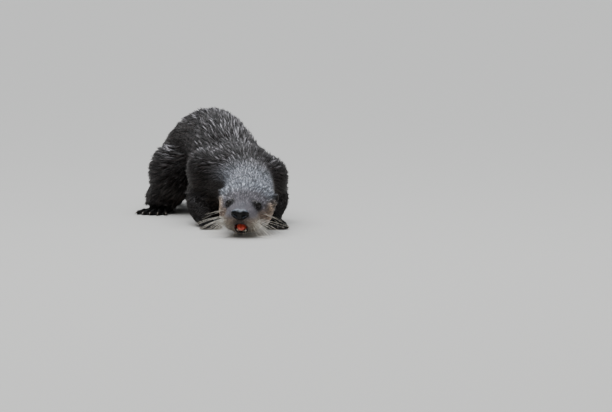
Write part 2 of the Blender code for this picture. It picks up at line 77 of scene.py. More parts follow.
# Neck, trunk and tail: centre x, y, z, half width, half height, then the coat's length there, which the
# CAD part doesn't have.
SPINE = (
    (25, -36, 60, 45, 37, 6.5), (23, -4, 68, 49, 41, 7.5),
    (21, 34, 77, 51, 46, 9.5), (11, 76, 80, 66, 58, 14),
    (1, 118, 87, 83, 72, 19), (-11, 162, 86, 80, 69, 21),
    (-29, 214, 110, 73, 81, 22), (-48, 274, 133, 66, 80, 23),
    (-72, 330, 131, 65, 77, 23), (-100, 382, 114, 63, 63, 22),
    (-122, 420, 88, 52, 48, 20), (-138, 456, 58, 42, 37, 18),
    (-151, 494, 36, 36, 31, 16), (-162, 542, 24, 31, 26, 15),
    (-162, 604, 19, 27, 21.5, 14), (-146, 668, 14.5, 22, 17, 13),
    (-112, 724, 10.5, 16.5, 13, 12), (-72, 766, 7, 10.5, 9, 10),
    (-46, 781, 4.5, 5, 5, 8),
)

# Right and left foreleg, right and left hind leg. The stations that lead the coat, from the muscle down,
# are this script's own: centre x, y, z and radius.
LEGS = (
    {"bones": ((-63, 122, 102, 43), (-72, 132, 70, 32), (-76, 122, 54, 26),
               (-76, 92, 33, 22), (-67, 56, 20, 17), (-57, 34, 11, 12)),
     "heel": (-60, 58, 0), "heading": 11, "sizes": FORE_FOOT},
    {"bones": ((60, 124, 87, 42), (70, 132, 62, 31), (74, 122, 52, 25),
               (72, 92, 33, 20), (69, 56, 20, 15.5), (73, 34, 11, 11.5)),
     "heel": (77, 58, 0), "heading": 0, "sizes": FORE_FOOT},
    {"bones": ((-134, 322, 88, 53), (-142, 305, 62, 40), (-152, 310, 42, 30),
               (-154, 335, 28, 22), (-154, 350, 18, 18)),
     "heel": (-152, 362, 0), "heading": -14, "sizes": HIND_FOOT},
    {"bones": ((-32, 362, 90, 48), (-18, 335, 64, 36), (-10, 338, 44, 28),
               (-6, 362, 30, 21), (-6, 380, 18, 17)),
     "heel": (-6, 392, 0), "heading": 6, "sizes": HIND_FOOT},
)

# The CAD nodes that the one skin replaces.
FLESH = ("head", "lower_jaw", "neck", "trunk_front", "trunk_rear", "tail_root", "tail_middle", "tail_tip",
         "foreleg_right", "foreleg_left", "hindleg_right", "hindleg_left", "forefoot_right",
         "forefoot_left", "hindfoot_right", "hindfoot_left", "ear_left", "ear_right")

# ---------------------------------------------------------------- sizes of the visual model only
# Face parts, fitted to the photo a few millimetres at most from the CAD part's own.
EYE_RADIUS, EYE_BULGE = 7.3, 2.7
EAR_PLACE = (52, -4, -4.5)
NOSE_PLACE, NOSE_RADII = (0, 89.5, -10.7), (16.9, 8.8, 11.1)
MOUTH_CENTRE, MOUTH_HALF = (2.6, 84, -38), (12.6, 9)   # the opening's half width and half height
TONGUE_PLACE, TONGUE_RADII = (2.2, 73, -37), (9.6, 17, 6.4)

GROWTH = 0.35 * MM       # flesh solids grow by this, so that the cuts between them close
SKIN_GRAIN = 2.46 * MM   # size of the skin's triangles, which stay under 200,000 with it
SKIN_DEPTH = 0.24        # how far the skin lies under the CAD surface, as a share of the coat's length
FOOT_MARGIN = 0.012      # metres by which a foot's own coat reaches past the foot

EAR_CENTRE = np.array((51, -4.5, -4.5))
EAR_OUT = np.array((0.82, -0.57, 0.08)) / np.linalg.norm((0.82, -0.57, 0.08))
EAR_FACING = np.array((0.57, 0.82, 0)) / np.linalg.norm((0.57, 0.82, 0))
EAR_UP = np.cross(EAR_OUT, EAR_FACING)
EAR_RIM, EAR_GIRTH = (5.5, 6.1), 2.1   # the rim's half width and half height, and its own radius
HAIR_PARTING = (0, 99, -13)            # the head's hair lies away from here, just ahead of the nose

# The coat: shares of the hair's length there, unless said otherwise.
LOCK_SPACING = 0.37        # from one wet lock to the next
STRAND_WIDTH = 0.095
HEAD_LOCKS = 0.55          # how much wider locks are set on the head
LIFT = 0.205               # how far a lock's tip stands off the skin
CLEARANCE = 0.14           # the least height of a strand's tip over the skin, as a share of its run
GATHER = 0.72              # how far a strand's tip leans to its lock's tip
COVER = 2.72               # layers of strands over each spot of skin
MOST_STRANDS = 0.9e6       # for each square metre
FILL = 0.3                 # share of strands that fill the valleys and gather to no lock
STRAND_THICKNESS = 0.42    # a strand's height, as a share of its width
# The colour of the painted sky sheen, a highlight that wet locks carry where they face up.
SHEEN_HIGHLIGHT = (0.8, 0.775, 0.83)
PIECE_TRIANGLES = 196000   # the most in one piece of the coat
PATCH = 0.0015             # half the size of one strand's patch in the unwrap

# Pieces of the coat and how many rings of points each strand has there, in the order of zone numbers.
ZONES = {"head": 2, "body": 3, "tail": 3, "legs": 2}
# Heights of these rings along the strand and its width there, both as shares.
RINGS = {3: (np.array((0, 0.34, 0.7)), np.array((0.78, 1, 0.66))),
         2: (np.array((0, 0.5)), np.array((0.85, 0.95)))}

WHISKER_ROOM = 0.008        # metres by which whiskers may pass the CAD box at its side; twice that ahead
WHISKER_LOWEST = 1.2 * MM   # whiskers bend forward over the floor at this height

CAMERA_AIM, CAMERA_DOWN = (0.131, 0, 0.046), 6   # metres in the working frame, and degrees
CAMERA_LENS, CAMERA_AWAY = 170.3, 5.5


def head_matrix():
    """The head's own frame in the working frame, metres."""
    turned = Matrix.Rotation(math.radians(180 - HEAD_YAW), 4, "Z")
    tipped = Matrix.Rotation(math.radians(-HEAD_PITCH), 4, "X")
    rolled = Matrix.Rotation(math.radians(-HEAD_ROLL), 4, "Y")
    mirrored_x = Matrix.Scale(-1, 4, (1, 0, 0))
    return Matrix.Translation(Vector(HEAD_PLACE) * MM) @ turned @ tipped @ rolled @ mirrored_x


def find_shift():
    """From the working frame to the part's own one: the eyes show it."""
    low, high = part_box("eye_left")
    return (low + high) / 2 - head_matrix() @ (Vector(EYE_PLACE) * MM)


SHIFT = find_shift()
HEAD = Matrix.Translation(SHIFT) @ head_matrix()
HEAD_TURN = np.array(HEAD.to_3x3())
HEAD_ORIGIN = np.array(HEAD.translation)


def to_head(points):
    """World points in metres to head places in millimetres."""
    return (points - HEAD_ORIGIN) @ HEAD_TURN / MM


def from_head(places):
    return np.asarray(places, float) * MM @ HEAD_TURN.T + HEAD_ORIGIN


def from_work(places):
    return np.asarray(places, float) * MM + np.array(SHIFT)


def mirrored(places):
    """Head places with the right side laid onto the left."""
    return np.stack([np.abs(places[:, 0]), places[:, 1], places[:, 2]], axis=1)


def ease(value, low, high):
    """0 below low, 1 above high and smooth between."""
    share = np.clip((value - low) / (high - low), 0, 1)
    return share * share * (3 - 2 * share)


def size_of(vectors):
    return np.linalg.norm(vectors, axis=1)


def dot(one, other):
    return np.einsum("ij,ij->i", one, other)


def unit(vectors):
    return vectors / np.maximum(np.linalg.norm(vectors, axis=-1, keepdims=True), 1e-12)


def faded(one, other, share):
    """From one value to the other, where both are numbers or vectors for each point."""
    share = share[:, None] if np.ndim(one) > 1 else share
    return one * (1 - share) + other * share


def blob(places, centre, radii, core=0.35):
    """1 in the core of an ellipsoid, falling smoothly to 0 at its edge."""
    away = (places - np.asarray(centre)) / np.asarray(radii)
    return 1 - ease(size_of(away), core, 1)


def ridges(points, scale, seed):
    """Smooth random waves from -1 to 1 over space; scale is their length in metres."""
    rng = np.random.default_rng(seed)
    total = np.zeros(len(points))
    for _ in range(7):
        direction = unit(rng.normal(size=3)) * (math.tau / scale) * rng.uniform(0.6, 1.5)
        total += np.sin(points @ direction + rng.uniform(0, math.tau))
    return total / 3.5


# ---------------------------------------------------------------- fields over the body
def stations(rows):
    """A table's centres, the ways along them and its other columns, with three more rows between each two."""
    rows = np.asarray(rows, float)
    places = np.linspace(0, len(rows) - 1, (len(rows) - 1) * 4 + 1)
    rows = np.stack([np.interp(places, np.arange(len(rows)), column) for column in rows.T], axis=1)
    centres = from_work(rows[:, :3])
    return centres, unit(np.gradient(centres, axis=0)), rows[:, 3:]


SPINE_AT, SPINE_ALONG, SPINE_SIZES = stations(SPINE)


def near_spine(points):
    """The number of each point's nearest spine station, measured in the body's own size there."""
    best = np.full(len(points), np.inf)
    which = np.zeros(len(points), int)
    for index, (centre, along, sizes) in enumerate(zip(SPINE_AT, SPINE_ALONG, SPINE_SIZES)):
        half = (sizes[:2] * MM).mean()
        away = points - centre
        score = size_of(away) / half + np.abs(away @ along) / half
        better = score < best
        best[better], which[better] = score[better], index
    return which


def leg_field(points):
    """Nearest leg station of each point: leg number, station share from the top, distance share, way."""
    best = np.full(len(points), np.inf)
    leg = np.zeros(len(points), int)
    share = np.zeros(len(points))
    way = np.zeros((len(points), 3))
    for number, parts in enumerate(LEGS):
        centres, along, radii = stations(parts["bones"])
        if parts["sizes"] is HIND_FOOT:  # a folded hind leg's coat still runs back and down
            along[:, 1] = np.maximum(along[:, 1], 0.3)
            along[:, 2] = np.minimum(along[:, 2], -0.5)
        for index, (centre, direction, radius) in enumerate(zip(centres, along, radii[:, 0])):
            score = size_of(points - centre) / (radius * MM)
            way += direction * (np.maximum(score, 0.2) ** -6)[:, None]
            better = score < best
            best[better] = score[better]
            leg[better] = number
            share[better] = index / (len(centres) - 1)
    return leg, share, best, unit(way)


def foot_field(points):
    """How much each point belongs to a foot, and the way that foot points."""
    amount = np.zeros(len(points))
    ahead = np.zeros((len(points), 3))
    for parts in LEGS:
        heading = math.radians(parts["heading"])
        forward = np.array((math.sin(heading), -math.cos(heading), 0))
        half_length, half_width = (parts["sizes"][name] * MM / 2 for name in ("length", "width"))
        away = points - (from_work(parts["heel"]) + forward * parts["sizes"]["length"] * MM / 2)
        along = away @ forward / (half_length + FOOT_MARGIN)
        across = size_of(away[:, :2] - np.outer(away @ forward, forward[:2])) / (half_width + FOOT_MARGIN)
        near = (1 - ease(np.abs(along), 0.8, 1.05)) * (1 - ease(across, 0.8, 1.1))
        near = near * (1 - ease(points[:, 2], 0.015, 0.03))
        better = near > amount
        amount[better] = near[better]
        ahead[better] = forward
    return amount, ahead


def body_fields(points, normals):
    """Everything the coat needs to know at points of the skin, as a dict of arrays."""
    head = to_head(points)
    forward = head[:, 1]
    in_head = ease(forward, -30, -6) * (np.abs(head[:, 0]) < 75)
    in_head = in_head * (size_of(head - (0, 25, -20)) < 105)
    station = near_spine(points)
    leg, leg_share, leg_distance, leg_way = leg_field(points)
    in_leg = (1 - ease(leg_distance, 1.15, 1.5)) * ease(leg_share, 0.25, 0.6)
    in_leg = in_leg * (1 - in_head)
    foot, foot_way = foot_field(points)
    foot = foot * (1 - in_head)

    # The coat runs back along the trunk, and spreads out and down where the body faces forward.
    along = SPINE_ALONG[station]
    facing = ease(-dot(normals, along), 0.25, 0.85)
    aside = unit(np.cross(along, (0, 0, 1)))
    offset = dot(points - SPINE_AT[station], aside) / (25 * MM)
    outward = aside * np.clip(offset, -1, 1)[:, None]
    fall = np.array((0, 0, -1))
    trunk_way = along + 1.6 * facing[:, None] * outward + (0.22 + 0.7 * facing)[:, None] * fall
    radial = unit(head - HAIR_PARTING)
    radial[:, 1] -= 0.35
    way = faded(trunk_way, unit(radial) @ HEAD_TURN.T, in_head)
    way = faded(faded(way, leg_way, in_leg), foot_way, foot)

    face_length = 3.3 + ease(-forward, -74, 6) * 7.6
    face_length = face_length * (1 + 0.5 * ease(-head[:, 2], 38, 56))
    length = faded(SPINE_SIZES[station, 2], face_length, in_head)
    length = faded(faded(length, 19 - 11 * leg_share, in_leg), 3.6, foot)
    ear = blob(mirrored(head), EAR_PLACE, (17, 17, 17))
    length = length + (2.8 - length) * ear
    # Painted sky sheen on the nape: a light blue-grey where the neck behind the head faces up.
    nape = ease(forward, -128, -52) * ease(normals[:, 2], 0.05, 0.6) * (1 - in_head)
    nape = nape * (station < 14) * (1 - in_leg) * ease(points[:, 2], 0.045, 0.065)
    return dict(point=points, normal=normals, head=head, in_head=in_head, station=station, leg=leg,
                leg_share=leg_share, in_leg=in_leg, foot=foot, ear=ear, nape=nape, way=unit(way),
                length=length * MM)


# ---------------------------------------------------------------- colours
def markings(fields):
    """The coat's colour at each point, linear RGB, with painted sky sheen and painted shade in places; skin
    and tufts share it.
    """
    point, head, station, in_head = (fields[name] for name in ("point", "head", "station", "in_head"))
    mirror, faces_down = mirrored(head), -fields["normal"][:, 2]
    side, forward, up = mirror[:, 0], head[:, 1], head[:, 2]
    behind_jaw = in_head * ease(side, 34, 48) * (1 - ease(forward, -10, 6)) * (1 - ease(up, 0, 12))
    throat = ease(faces_down, 0.1, 0.7) * (1 - ease(station, 2, 18))
    colour = np.tile((0.0165, 0.0118, 0.0104), (len(point), 1)).astype(float)
    for tone, amount in (
            ((0.03, 0.022, 0.017), ease(faces_down, 0.2, 0.8) * 0.8),  # belly
            ((0.018, 0.013, 0.01), ease(station, 38, 50)),  # tail
            ((0.034, 0.026, 0.021), fields["in_leg"] * 0.45 * (point[:, 1] > 0)),  # hind legs
            ((0.008, 0.0072, 0.007), fields["foot"]),
            # painted sky sheen on the nape
            ((0.225, 0.24, 0.275), fields["nape"] * 0.92),
            # crown: the head's grey-brown, painted lighter and bluer as sky sheen on its top
            ((0.268, 0.285, 0.325), in_head),  # crown
            ((0.158, 0.148, 0.166), in_head * ease(forward, 12, 36)),  # forehead
            ((0.2, 0.157, 0.124), in_head * ease(forward, 40, 60) * ease(-up, 12, 24)),  # muzzle
            ((0.05, 0.042, 0.038), behind_jaw),
            ((0.44, 0.32, 0.228), 0.92 * blob(mirror, (51, 26, -25), (23, 40, 29))),  # cheek
            ((0.31, 0.232, 0.184), 0.85 * blob(mirror, (33, 54, -26), (20, 24, 18))),  # under the eye
            ((0.37, 0.33, 0.278), 0.92 * blob(mirror, (26, 76, -33), (22, 26, 19))),  # whisker pad
            ((0.42, 0.37, 0.31), in_head * ease(-up, 40, 50) * 0.9),  # chin
            ((0.075, 0.06, 0.055), 0.95 * blob(mirror, (0, 92, -27), (18, 18, 11))),  # upper lip
            ((0.125, 0.124, 0.142), 0.8 * blob(mirror, (0, 72, -2), (15, 26, 11))),  # nose bridge
            # round the eye: near-black, for the darker fur there and painted shade in the socket
            ((0.0075, 0.0062, 0.0062), blob(mirror, (EYE_PLACE[0], 52, -6.5), (15.5, 13.5, 13.5), 0.6)),
            ((0.042, 0.034, 0.029), 0.95 * (1 - ease(size_of(mirror - EAR_CENTRE), 7, 11))),
            # the ear's hollow: its dark skin, with painted shade in the opening
            ((0.009, 0.008, 0.008), blob(mirror, (51, 2, -4.5), (9, 11, 9.5), 0.65)),  # ear's hollow
            ((0.11, 0.09, 0.072), throat * (1 - in_head) * 0.8)):
        colour = colour + (np.asarray(tone) - colour) * amount[:, None]
    return colour


# ---------------------------------------------------------------- meshes
def new_object(name, data):
    made = bpy.data.objects.new(name, data)
    bpy.context.scene.collection.objects.link(made)
    return made


def shown(name, mesh, material, slot, *nodes):
    """A mesh as a visible piece of the one body, in place of the CAD nodes that are given."""
    mesh.materials.append(material)
    made = new_object(name, mesh)
    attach(made, "root")
    if nodes:
        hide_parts(*nodes)
    return made


def faced_outward(mesh):
    shape = bmesh.new()
    shape.from_mesh(mesh)
    bmesh.ops.recalc_face_normals(shape, faces=shape.faces)
    shape.to_mesh(mesh)
    shape.free()
    return mesh


def piece(name, arrays, material, slot, *nodes):
    return shown(name, faced_outward(mesh_of(name, *arrays)), material, slot, *nodes)


def mesh_of(name, points, triangles, uv=None, colours=None):
    """A smooth mesh from arrays of points and triangles, with per-vertex UVs and colours."""
    mesh = bpy.data.meshes.new(name)
    mesh.vertices.add(len(points))
    mesh.vertices.foreach_set("co", np.ascontiguousarray(points, np.float32).ravel())
    corners = np.ascontiguousarray(triangles, np.int32).ravel()
    mesh.loops.add(len(corners))
    mesh.loops.foreach_set("vertex_index", corners)
    mesh.polygons.add(len(triangles))
    mesh.polygons.foreach_set("loop_start", np.arange(0, len(corners), 3, dtype=np.int32))
    mesh.polygons.foreach_set("use_smooth", np.ones(len(triangles), bool))
    if uv is not None:
        layer = mesh.uv_layers.new(name="OFBake")
        layer.data.foreach_set("uv", np.ascontiguousarray(uv[corners], np.float32).ravel())
    if colours is not None:
        painted = np.ones((len(points), 4), np.float32)
        painted[:, :3] = colours
        mesh.attributes.new("Tint", "FLOAT_COLOR", "POINT").data.foreach_set("color", painted.ravel())
    mesh.update()
    mesh.validate()
    return mesh


def ellipsoid(shape, centre, radii, matrix, segments=24, rings=16):
    """Adds an ellipsoid, in millimetres in a frame, to a bmesh."""
    size = Matrix.Diagonal((*(Vector(radii) * MM), 1))
    made = bmesh.ops.create_uvsphere(shape, u_segments=segments, v_segments=rings, radius=1)
    bmesh.ops.transform(shape, matrix=matrix @ Matrix.Translation(Vector(centre) * MM) @ size,
                        verts=made["verts"])


def foot_frame(parts):
    return (Matrix.Translation(SHIFT + Vector(parts["heel"]) * MM)
            @ Matrix.Rotation(math.radians(parts["heading"]), 4, "Z"))


def toes(parts):
    """Base, direction, radius and angle of each toe in its foot's frame, millimetres and radians."""
    sizes = parts["sizes"]
    radius = sizes["toe_radius"]
    for index in range(TOE_COUNT):
        share = index / (TOE_COUNT - 1) * 2 - 1
        angle = math.radians(share * TOE_FAN)
        ahead = Vector((math.sin(angle), -math.cos(angle), 0))
        base = Vector((share * (sizes["width"] / 2 - radius) * 0.72,
                       sizes["toe_length"] + radius * (1 + share * share) - sizes["length"], 0))
        yield base, ahead, radius, angle


def add_toes(whole, parts):
    """Rounder toes: a row of balls along each."""
    for base, ahead, radius, angle in toes(parts):
        for step in (0, 0.25, 0.5, 0.75, 1):
            spot = base + ahead * parts["sizes"]["toe_length"] * step
            place = Matrix.Translation(Vector((spot.x, spot.y, 6.2 - 1.6 * step * step)) * MM)
            ellipsoid(whole, (0, 0, 0), (radius * 0.86, radius * 1.3, radius * 0.95),
                      foot_frame(parts) @ place @ Matrix.Rotation(angle, 4, "Z"), 12, 8)


def add_ear(whole, side):
    """A thin plate inside a round rim of balls."""
    flip = np.array((side, 1, 1))
    turn = Matrix((np.stack([EAR_OUT, EAR_FACING, EAR_UP]) * flip).T.tolist()).to_4x4()
    plate = Matrix.Translation(Vector((EAR_CENTRE - EAR_FACING * 2.4) * flip) * MM) @ turn
    ellipsoid(whole, (0, 0, 0), (EAR_RIM[0], 2.2, EAR_RIM[1]), HEAD @ plate)
    for angle in np.linspace(0, math.tau, 26, endpoint=False):
        spot = EAR_CENTRE + EAR_OUT * EAR_RIM[0] * math.cos(angle) + EAR_UP * EAR_RIM[1] * math.sin(angle)
        ellipsoid(whole, spot * flip, (EAR_GIRTH,) * 3, HEAD, 10, 8)


def flesh_solid():
    """All flesh solids, each grown a little, with rounder toes, muzzle, eye sockets and ears added."""
    whole = bmesh.new()
    for name in FLESH:
        part = bmesh.new()
        part.from_mesh(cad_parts[name].data)
        bmesh.ops.remove_doubles(part, verts=part.verts, dist=1e-6)
        bmesh.ops.recalc_face_normals(part, faces=part.faces)
        for vertex, normal in [(v, v.normal.copy()) for v in part.verts]:
            vertex.co += normal * GROWTH
        mesh = bpy.data.meshes.new("part")
        part.to_mesh(mesh)
        part.free()
        whole.from_mesh(mesh)
        bpy.data.meshes.remove(mesh)
    for parts in LEGS:
        add_toes(whole, parts)
    for centre, radii in (((0, 87, -10), (14, 6.5, 10)),  # behind the nose pad
                          ((0, 70, -38), (15, 20.5, 12))):  # round the mouth
        ellipsoid(whole, centre, radii, HEAD)
    for side in (-1, 1):
        ellipsoid(whole, (EYE_PLACE[0] * side, EYE_PLACE[1] - 2, EYE_PLACE[2]), (8, 6.5, 8), HEAD)
        add_ear(whole, side)
    mesh = bpy.data.meshes.new("flesh")
    whole.to_mesh(mesh)
    whole.free()
    return new_object("flesh", mesh)


def evaluated(source):
    graph = bpy.context.evaluated_depsgraph_get()
    graph.update()
    return bpy.data.meshes.new_from_object(source.evaluated_get(graph))


def arrays_of(mesh):
    """A mesh's points, triangles and edges."""
    mesh.calc_loop_triangles()
    points = np.empty(len(mesh.vertices) * 3, np.float32)
    triangles = np.empty(len(mesh.loop_triangles) * 3, np.int32)
    edges = np.empty(len(mesh.edges) * 2, np.int32)
    mesh.vertices.foreach_get("co", points)
    mesh.loop_triangles.foreach_get("vertices", triangles)
    mesh.edges.foreach_get("vertices", edges)
    return points.reshape(-1, 3).astype(float), triangles.reshape(-1, 3), edges.reshape(-1, 2)


def face_normals(points, triangles):
    """Each triangle's normal, twice as long as its area."""
    a, b, c = (points[triangles[:, k]] for k in range(3))
    return np.cross(b - a, c - a)


def vertex_normals(points, triangles):
    face = face_normals(points, triangles)
    total = np.zeros_like(points)
    for k in range(3):
        for axis in range(3):
            total[:, axis] += np.bincount(triangles[:, k], face[:, axis], len(points))
    return unit(total)


def relaxed(points, edges, weight, steps):
    """Laplacian smoothing: weight says, per vertex, how far each step goes to the neighbours' mean."""
    count = np.bincount(edges.ravel(), minlength=len(points)).astype(float)[:, None]
    for _ in range(steps):
        total = np.zeros_like(points)
        for axis in range(3):
            total[:, axis] = (np.bincount(edges[:, 0], points[edges[:, 1], axis], len(points))
                              + np.bincount(edges[:, 1], points[edges[:, 0], axis], len(points)))
        points = points + (total / count - points) * weight[:, None]
    return points


def toe_grooves(points):
    """Sinks the web between neighbouring toes."""
    for parts in LEGS:
        back = np.array(foot_frame(parts).inverted())
        local = (points @ back[:3, :3].T + back[:3, 3]) / MM
        sizes = parts["sizes"]
        nearest_toe = np.full(len(points), np.inf)
        along = np.full(len(points), -np.inf)
        for base, ahead, radius, _ in toes(parts):
            away = local[:, :2] - (base.x, base.y)
            beside = np.abs(away @ np.array((-ahead.y, ahead.x))) / radius
            nearest_toe = np.minimum(nearest_toe, beside)
            along = np.maximum(along, away @ np.array((ahead.x, ahead.y)) / sizes["toe_length"])
        inside = (np.abs(local[:, 0]) < sizes["width"] * 0.62) & (local[:, 2] < 22) & (along < 1.6)
        tipward = np.clip(along, 0, 1)
        share = (nearest_toe - 0.28 - 0.12 * tipward) / (0.32 + 0.24 * tipward)
        sink = ease(share, 0, 1) * ease(along, -0.35, 0.15) * inside
        height = points[:, 2] - 1.2 * MM
        points[:, 2] -= np.where(height > 0, height * 0.72 * sink, 0)
    return points


def make_skin():
    """Points and triangles of one closed skin, under the coat's tips by part of the coat's length."""
    flesh = flesh_solid()
    remesh = flesh.modifiers.new("fuse", "REMESH")
    remesh.mode = "VOXEL"
    remesh.voxel_size = SKIN_GRAIN
    points, triangles, edges = arrays_of(evaluated(flesh))
    bpy.data.objects.remove(flesh)
    fields = body_fields(points, vertex_normals(points, triangles))
    ear = ease(fields["ear"], 0, 0.4)
    fine = np.clip(fields["foot"] * 0.9 + ear * 0.9 + fields["in_head"] * 0.45, 0, 0.93)
    points = relaxed(points, edges, 0.5 * (1 - fine), 22)
    depth = fields["length"] * SKIN_DEPTH * (1 - 0.8 * ear)
    points = points - vertex_normals(points, triangles) * depth[:, None]
    points = toe_grooves(relaxed(points, edges, 0.5 * (1 - fine), 2))
    points[:, 2] = np.maximum(points[:, 2], 0)
    return points, triangles


# ---------------------------------------------------------------- the coat
def tuft_arrays(roots, normals, ways, lengths, widths, lifts, bends, colours, tip_colours, segments, uv):
    """Points, triangles, UVs and colours of one solid strand per root: rings of three points and a tip."""
    rows, girth = RINGS[segments]
    count, per = len(roots), 3 * segments + 1
    side = np.cross(normals, ways)
    points, maps, paint = (np.zeros((count, per, size)) for size in (3, 2, 3))

    def centre(share):
        rise = lifts * (1.55 * share - 0.55 * share ** 2) - 0.1 * (1 - share)
        return (roots + ways * (lengths * share)[:, None] + normals * (lengths * rise)[:, None]
                + side * (lengths * bends * share ** 2)[:, None])

    for index, (share, wide) in enumerate(zip(rows, girth)):
        middle = centre(share)
        half = (widths * wide / 2)[:, None]
        slant = normals - ways * (lifts * (1.55 - 1.1 * share))[:, None]
        for k, (across, up, u, v) in enumerate(((-1, 0, -1, 0), (1, 0, 1, 0),
                                                (0, STRAND_THICKNESS * 2, 0, -0.12))):
            points[:, 3 * index + k] = middle + side * half * across + slant * half * up
            maps[:, 3 * index + k] = (u, share * 2 - 1 + (v if index == 0 else 0))
            # The ridge point takes more of the tip colour than the two side points: a painted highlight along
            # each strand's ridge.
            lighter = 0.55 * share if k < 2 else min(1, share * 1.5 + 0.1)
            paint[:, 3 * index + k] = colours + (tip_colours - colours) * lighter
    points[:, -1] = centre(1)
    maps[:, -1] = (0, 1)
    paint[:, -1] = colours + (tip_colours - colours) * 0.8
    triangles = [(0, 1, 2)]
    for a in range(0, per - 4, 3):
        for k in range(3):
            n = (k + 1) % 3
            triangles += [(a + k, a + 3 + n, a + n), (a + k, a + 3 + k, a + 3 + n)]
    last = per - 4
    triangles += [(last + k, per - 1, last + (k + 1) % 3) for k in range(3)]
    everything = (np.array(triangles)[None] + (np.arange(count) * per)[:, None, None]).reshape(-1, 3)
    points = points.reshape(-1, 3)
    points[:, 2] = np.maximum(points[:, 2], 0.25 * MM)
    maps = uv[:, None, :] + maps * PATCH
    return points, everything, maps.reshape(-1, 2), paint.reshape(-1, 3)


def unwrap(fields):
    """Places on an unwrap of the skin: zone number, u round the part and v along it, each 0 to 1."""
    def turn_share(across, up):
        return np.arctan2(across, up) / math.tau + 0.5

    point, station, leg = fields["point"], fields["station"], fields["leg"]
    zone = np.where(fields["in_head"] > 0.5, 0, np.where(station > 46, 2, 1))
    zone = np.where((fields["in_leg"] > 0.5) | (fields["foot"] > 0.5), 3, zone)
    away = fields["head"] - (0, 25, -22)
    middle = point - SPINE_AT[station]
    from_heel = point - np.array([from_work(parts["heel"]) for parts in LEGS])[leg]
    u_head, u_body = turn_share(away[:, 0], away[:, 2]), turn_share(middle[:, 0], middle[:, 2])
    u_leg = (leg + 0.02 + 0.96 * turn_share(from_heel[:, 0], from_heel[:, 1] + 0.02)) / 4
    v_head = np.arccos(np.clip(unit(away)[:, 1], -1, 1)) / math.pi
    along = dot(middle, SPINE_ALONG[station])
    v_body = (station + np.clip(along / 0.012, -0.5, 0.5)) / (len(SPINE_AT) - 1)
    v_leg = np.clip(size_of(from_heel) / 0.17, 0, 1)
    return (zone, np.choose(zone, (u_head, u_body, u_body, u_leg)),
            np.choose(zone, (v_head, v_body, v_body, v_leg)))


def nearest(places, centres):
    """For each place the nearest centre's number."""
    tree = KDTree(len(centres))
    for number, centre in enumerate(centres):
        tree.insert(centre, number)
    tree.balance()
    return np.array([tree.find(place)[1] for place in places])


def on_skin(points, triangles, normals, density, rng):
    """The fields at evenly scattered roots; density is roots per square metre, for each triangle."""
    want = np.cumsum(size_of(face_normals(points, triangles)) / 2 * density)
    count = int(want[-1])
    at = (np.arange(count) + rng.uniform(0, 1, count)) / count * want[-1]
    corner = triangles[np.minimum(np.searchsorted(want, at), len(triangles) - 1)]
    first, second = rng.uniform(size=(2, count))
    root = np.sqrt(first)
    weights = np.stack([1 - root, root * (1 - second), root * second], axis=1)
    roots, root_normals = (np.einsum("ij,ijk->ik", weights, of[corner]) for of in (points, normals))
    return body_fields(roots, unit(root_normals))


def lock_ways(at, rng):
    """The lie of the coat at each root: the field laid onto the skin, with slow waves and some disorder."""
    normal, point = at["normal"], at["point"]
    way = unit(at["way"] - normal * dot(at["way"], normal)[:, None])
    turn = ridges(point, 0.06, 3) * 0.2 + ridges(point, 0.022, 5) * 0.16
    turn = turn + rng.normal(0, 0.07, len(point))
    return unit(way * np.cos(turn)[:, None] + np.cross(normal, way) * np.sin(turn)[:, None])


def clear_of_skin(tree, roots, normals, ways, runs, lifts, most):
    """Raises the strands whose tips would dive into the skin across a crease."""
    tips = roots + (ways + normals * lifts[:, None]) * runs[:, None]
    raised = lifts.copy()
    for index, tip in enumerate(tips.tolist()):
        place, facing, _, _ = tree.find_nearest(tip)
        above = (Vector(tip) - place).dot(facing)
        short = CLEARANCE * runs[index] - above
        if short > 0:
            share = max(0.35, facing.dot(Vector(normals[index])))
            raised[index] = min(most[index], lifts[index] + short / (share * runs[index]))
    return raised


def wet_locks(points, triangles, normals, density, rng):
    """The wet locks' roots, with the lie, lift and tip of each and its own shade from 0 to 1."""
    locks = on_skin(points, triangles, normals, density, rng)
    count = len(locks["point"])
    lie = lock_ways(locks, rng)
    lift = LIFT * rng.uniform(0.75, 1.35, count) * (1 - 0.45 * locks["foot"])
    length = locks["length"] * rng.uniform(0.85, 1.15, count)
    tip = locks["point"] + lie * length[:, None] + locks["normal"] * (length * lift)[:, None]
    return dict(locks, lie=lie, lift=lift, tip=tip, shade=rng.uniform(0, 1, count))


